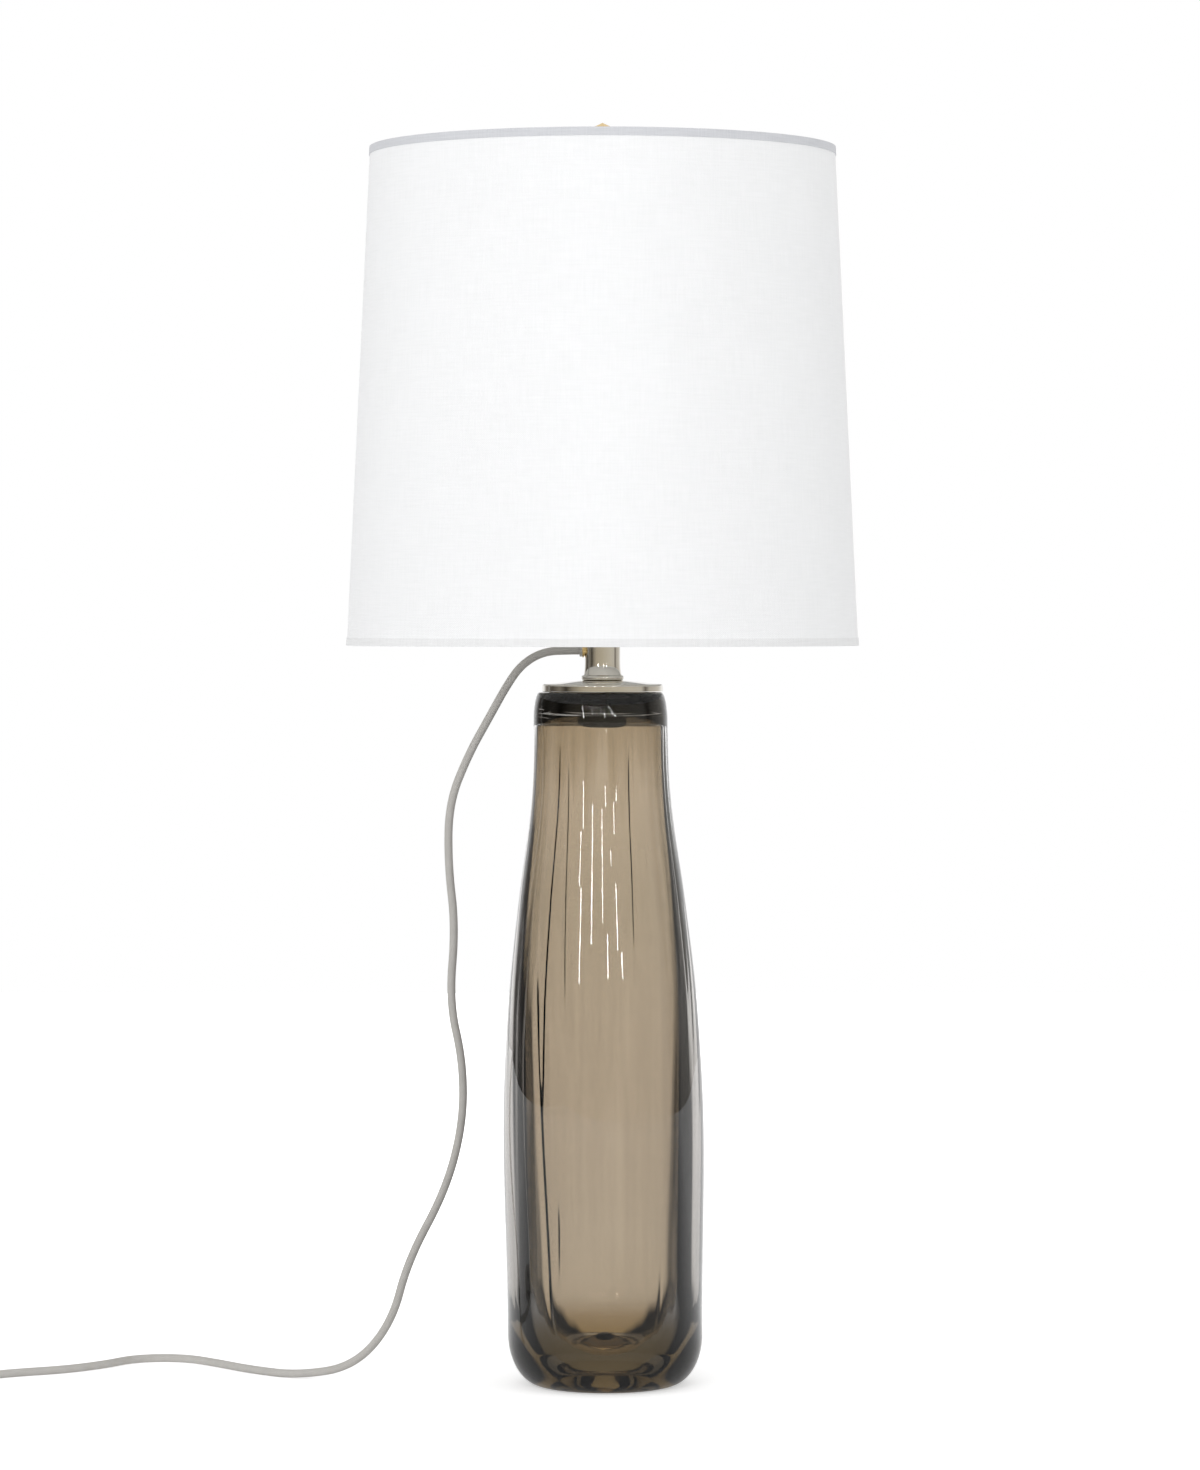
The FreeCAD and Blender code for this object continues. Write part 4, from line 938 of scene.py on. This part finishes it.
def sweep_finish():
    """White that keeps a shadow for the camera, with the dim room's floor beside the screen."""
    finish = Finish("pale_sweep", sweep_white, roughness=1.0)
    finish.shader.inputs["Specular IOR Level"].default_value = 0.0
    camera_ray = finish.node("ShaderNodeLightPath", out="Is Camera Ray")
    bent_ray = camera_ray.other("Is Transmission Ray")
    place = finish.place()
    reach = finish.node("ShaderNodeVectorMath", {0: place}, out="Value", operation="LENGTH")
    far = finish.node(
        "ShaderNodeMapRange", {"Value": reach, "From Min": near_reach, "From Max": far_reach}
    )
    glow = finish.blend(far, grey(near_glow), grey(far_glow))
    bent = finish.blend(lit_screen(finish, place), grey(0), grey(screen_glow))
    along = finish.node("ShaderNodeSeparateXYZ", {"Vector": place}).other("Y")
    behind = finish.node(
        "ShaderNodeMapRange", {"Value": along, "From Min": mirrored_from, "From Max": mirrored_to}
    )
    mirrored = finish.blend(behind, grey(mirrored_front), grey(mirrored_back))
    seen = finish.blend(camera_ray, lit_table, sweep_white)
    finish.feed("Base Color", finish.blend(bent_ray, seen, dim_room))
    rest = finish.blend(bent_ray, mirrored, bent)
    finish.feed("Emission Color", finish.blend(camera_ray, rest, glow))
    finish.shader.inputs["Emission Strength"].default_value = 1.0
    return finish.material


floor_corners = [
    (floor_half * x, floor_half * y, 0) for x, y in ((-1, -1), (1, -1), (1, 1), (-1, 1))
]
flat_card("floor", floor_corners, sweep_finish())


def soft_light(name, place, aim, size, power, mirrored=False):
    """A rectangular light, hidden in metal and glass unless it is mirrored."""
    data = bpy.data.lights.new(name, "AREA")
    data.shape = "RECTANGLE"
    data.size, data.size_y = size
    data.energy = power
    lamp = bpy.data.objects.new(name, data)
    lamp.location = place
    lamp.rotation_euler = (Vector(aim) - Vector(place)).to_track_quat("-Z", "Y").to_euler()
    lamp.visible_camera = False
    lamp.visible_glossy = mirrored
    lamp.visible_transmission = mirrored
    bpy.context.scene.collection.objects.link(lamp)


soft_light("front_fill", (-0.5, -2.8, 1.3), (0, 0, 0.45), (1.6, 1.6), 20)
soft_light("left_fill", (-2.4, -1.2, 0.9), (0, 0, 0.45), (1.2, 1.2), 11)
soft_light("right_fill", (2.4, -1.2, 0.9), (0, 0, 0.45), (1.2, 1.2), 11)
soft_light("top_fill", (0.2, 0.2, 2.6), (0, 0, 0), (2.0, 2.0), 8)
for bearing, height, tall in spark_places:
    turned = math.radians(bearing)
    place = (spark_reach * math.sin(turned), -spark_reach * math.cos(turned), height)
    soft_light("spark_light", place, (0, 0, 0.3), (spark_width, tall), spark_power * tall, True)

world = bpy.data.worlds.new("studio")
world.use_nodes = True
bpy.context.scene.world = world
sky = Graph(world.node_tree)
outlook = sky.node("ShaderNodeTexCoord", out="Generated")
turn = bearing_of(sky, outlook) / (2 * math.pi) + 0.5
mirrored_tone = sky.node("ShaderNodeValToRGB", {"Fac": turn}, stops=mirrored_room)
camera_ray = sky.node("ShaderNodeLightPath", out="Is Camera Ray")
shades = [                  # share, tone at 0 and tone at 1; None is what the rows before give
    (lit_screen(sky, outlook), (*dim_room, 1), (*grey(screen_glow), 1)),
    (camera_ray.other("Is Transmission Ray"), mirrored_tone, None),
    (camera_ray.other("Is Diffuse Ray"), None, (*open_room, 1)),
    (camera_ray, None, (1, 1, 1, 1)),
]
tone = None
for share, low, high in shades:
    mix = sky.node("ShaderNodeMix", data_type="RGBA").socket.node
    world.node_tree.links.new(share.socket, mix.inputs[0])
    for socket, value in ((mix.inputs[6], low), (mix.inputs[7], high)):
        if isinstance(value, Term):
            world.node_tree.links.new(value.socket, socket)
        elif value:
            socket.default_value = value
        else:
            world.node_tree.links.new(tone, socket)
    tone = mix.outputs[2]
background = world.node_tree.nodes["Background"]
world.node_tree.links.new(tone, background.inputs["Color"])
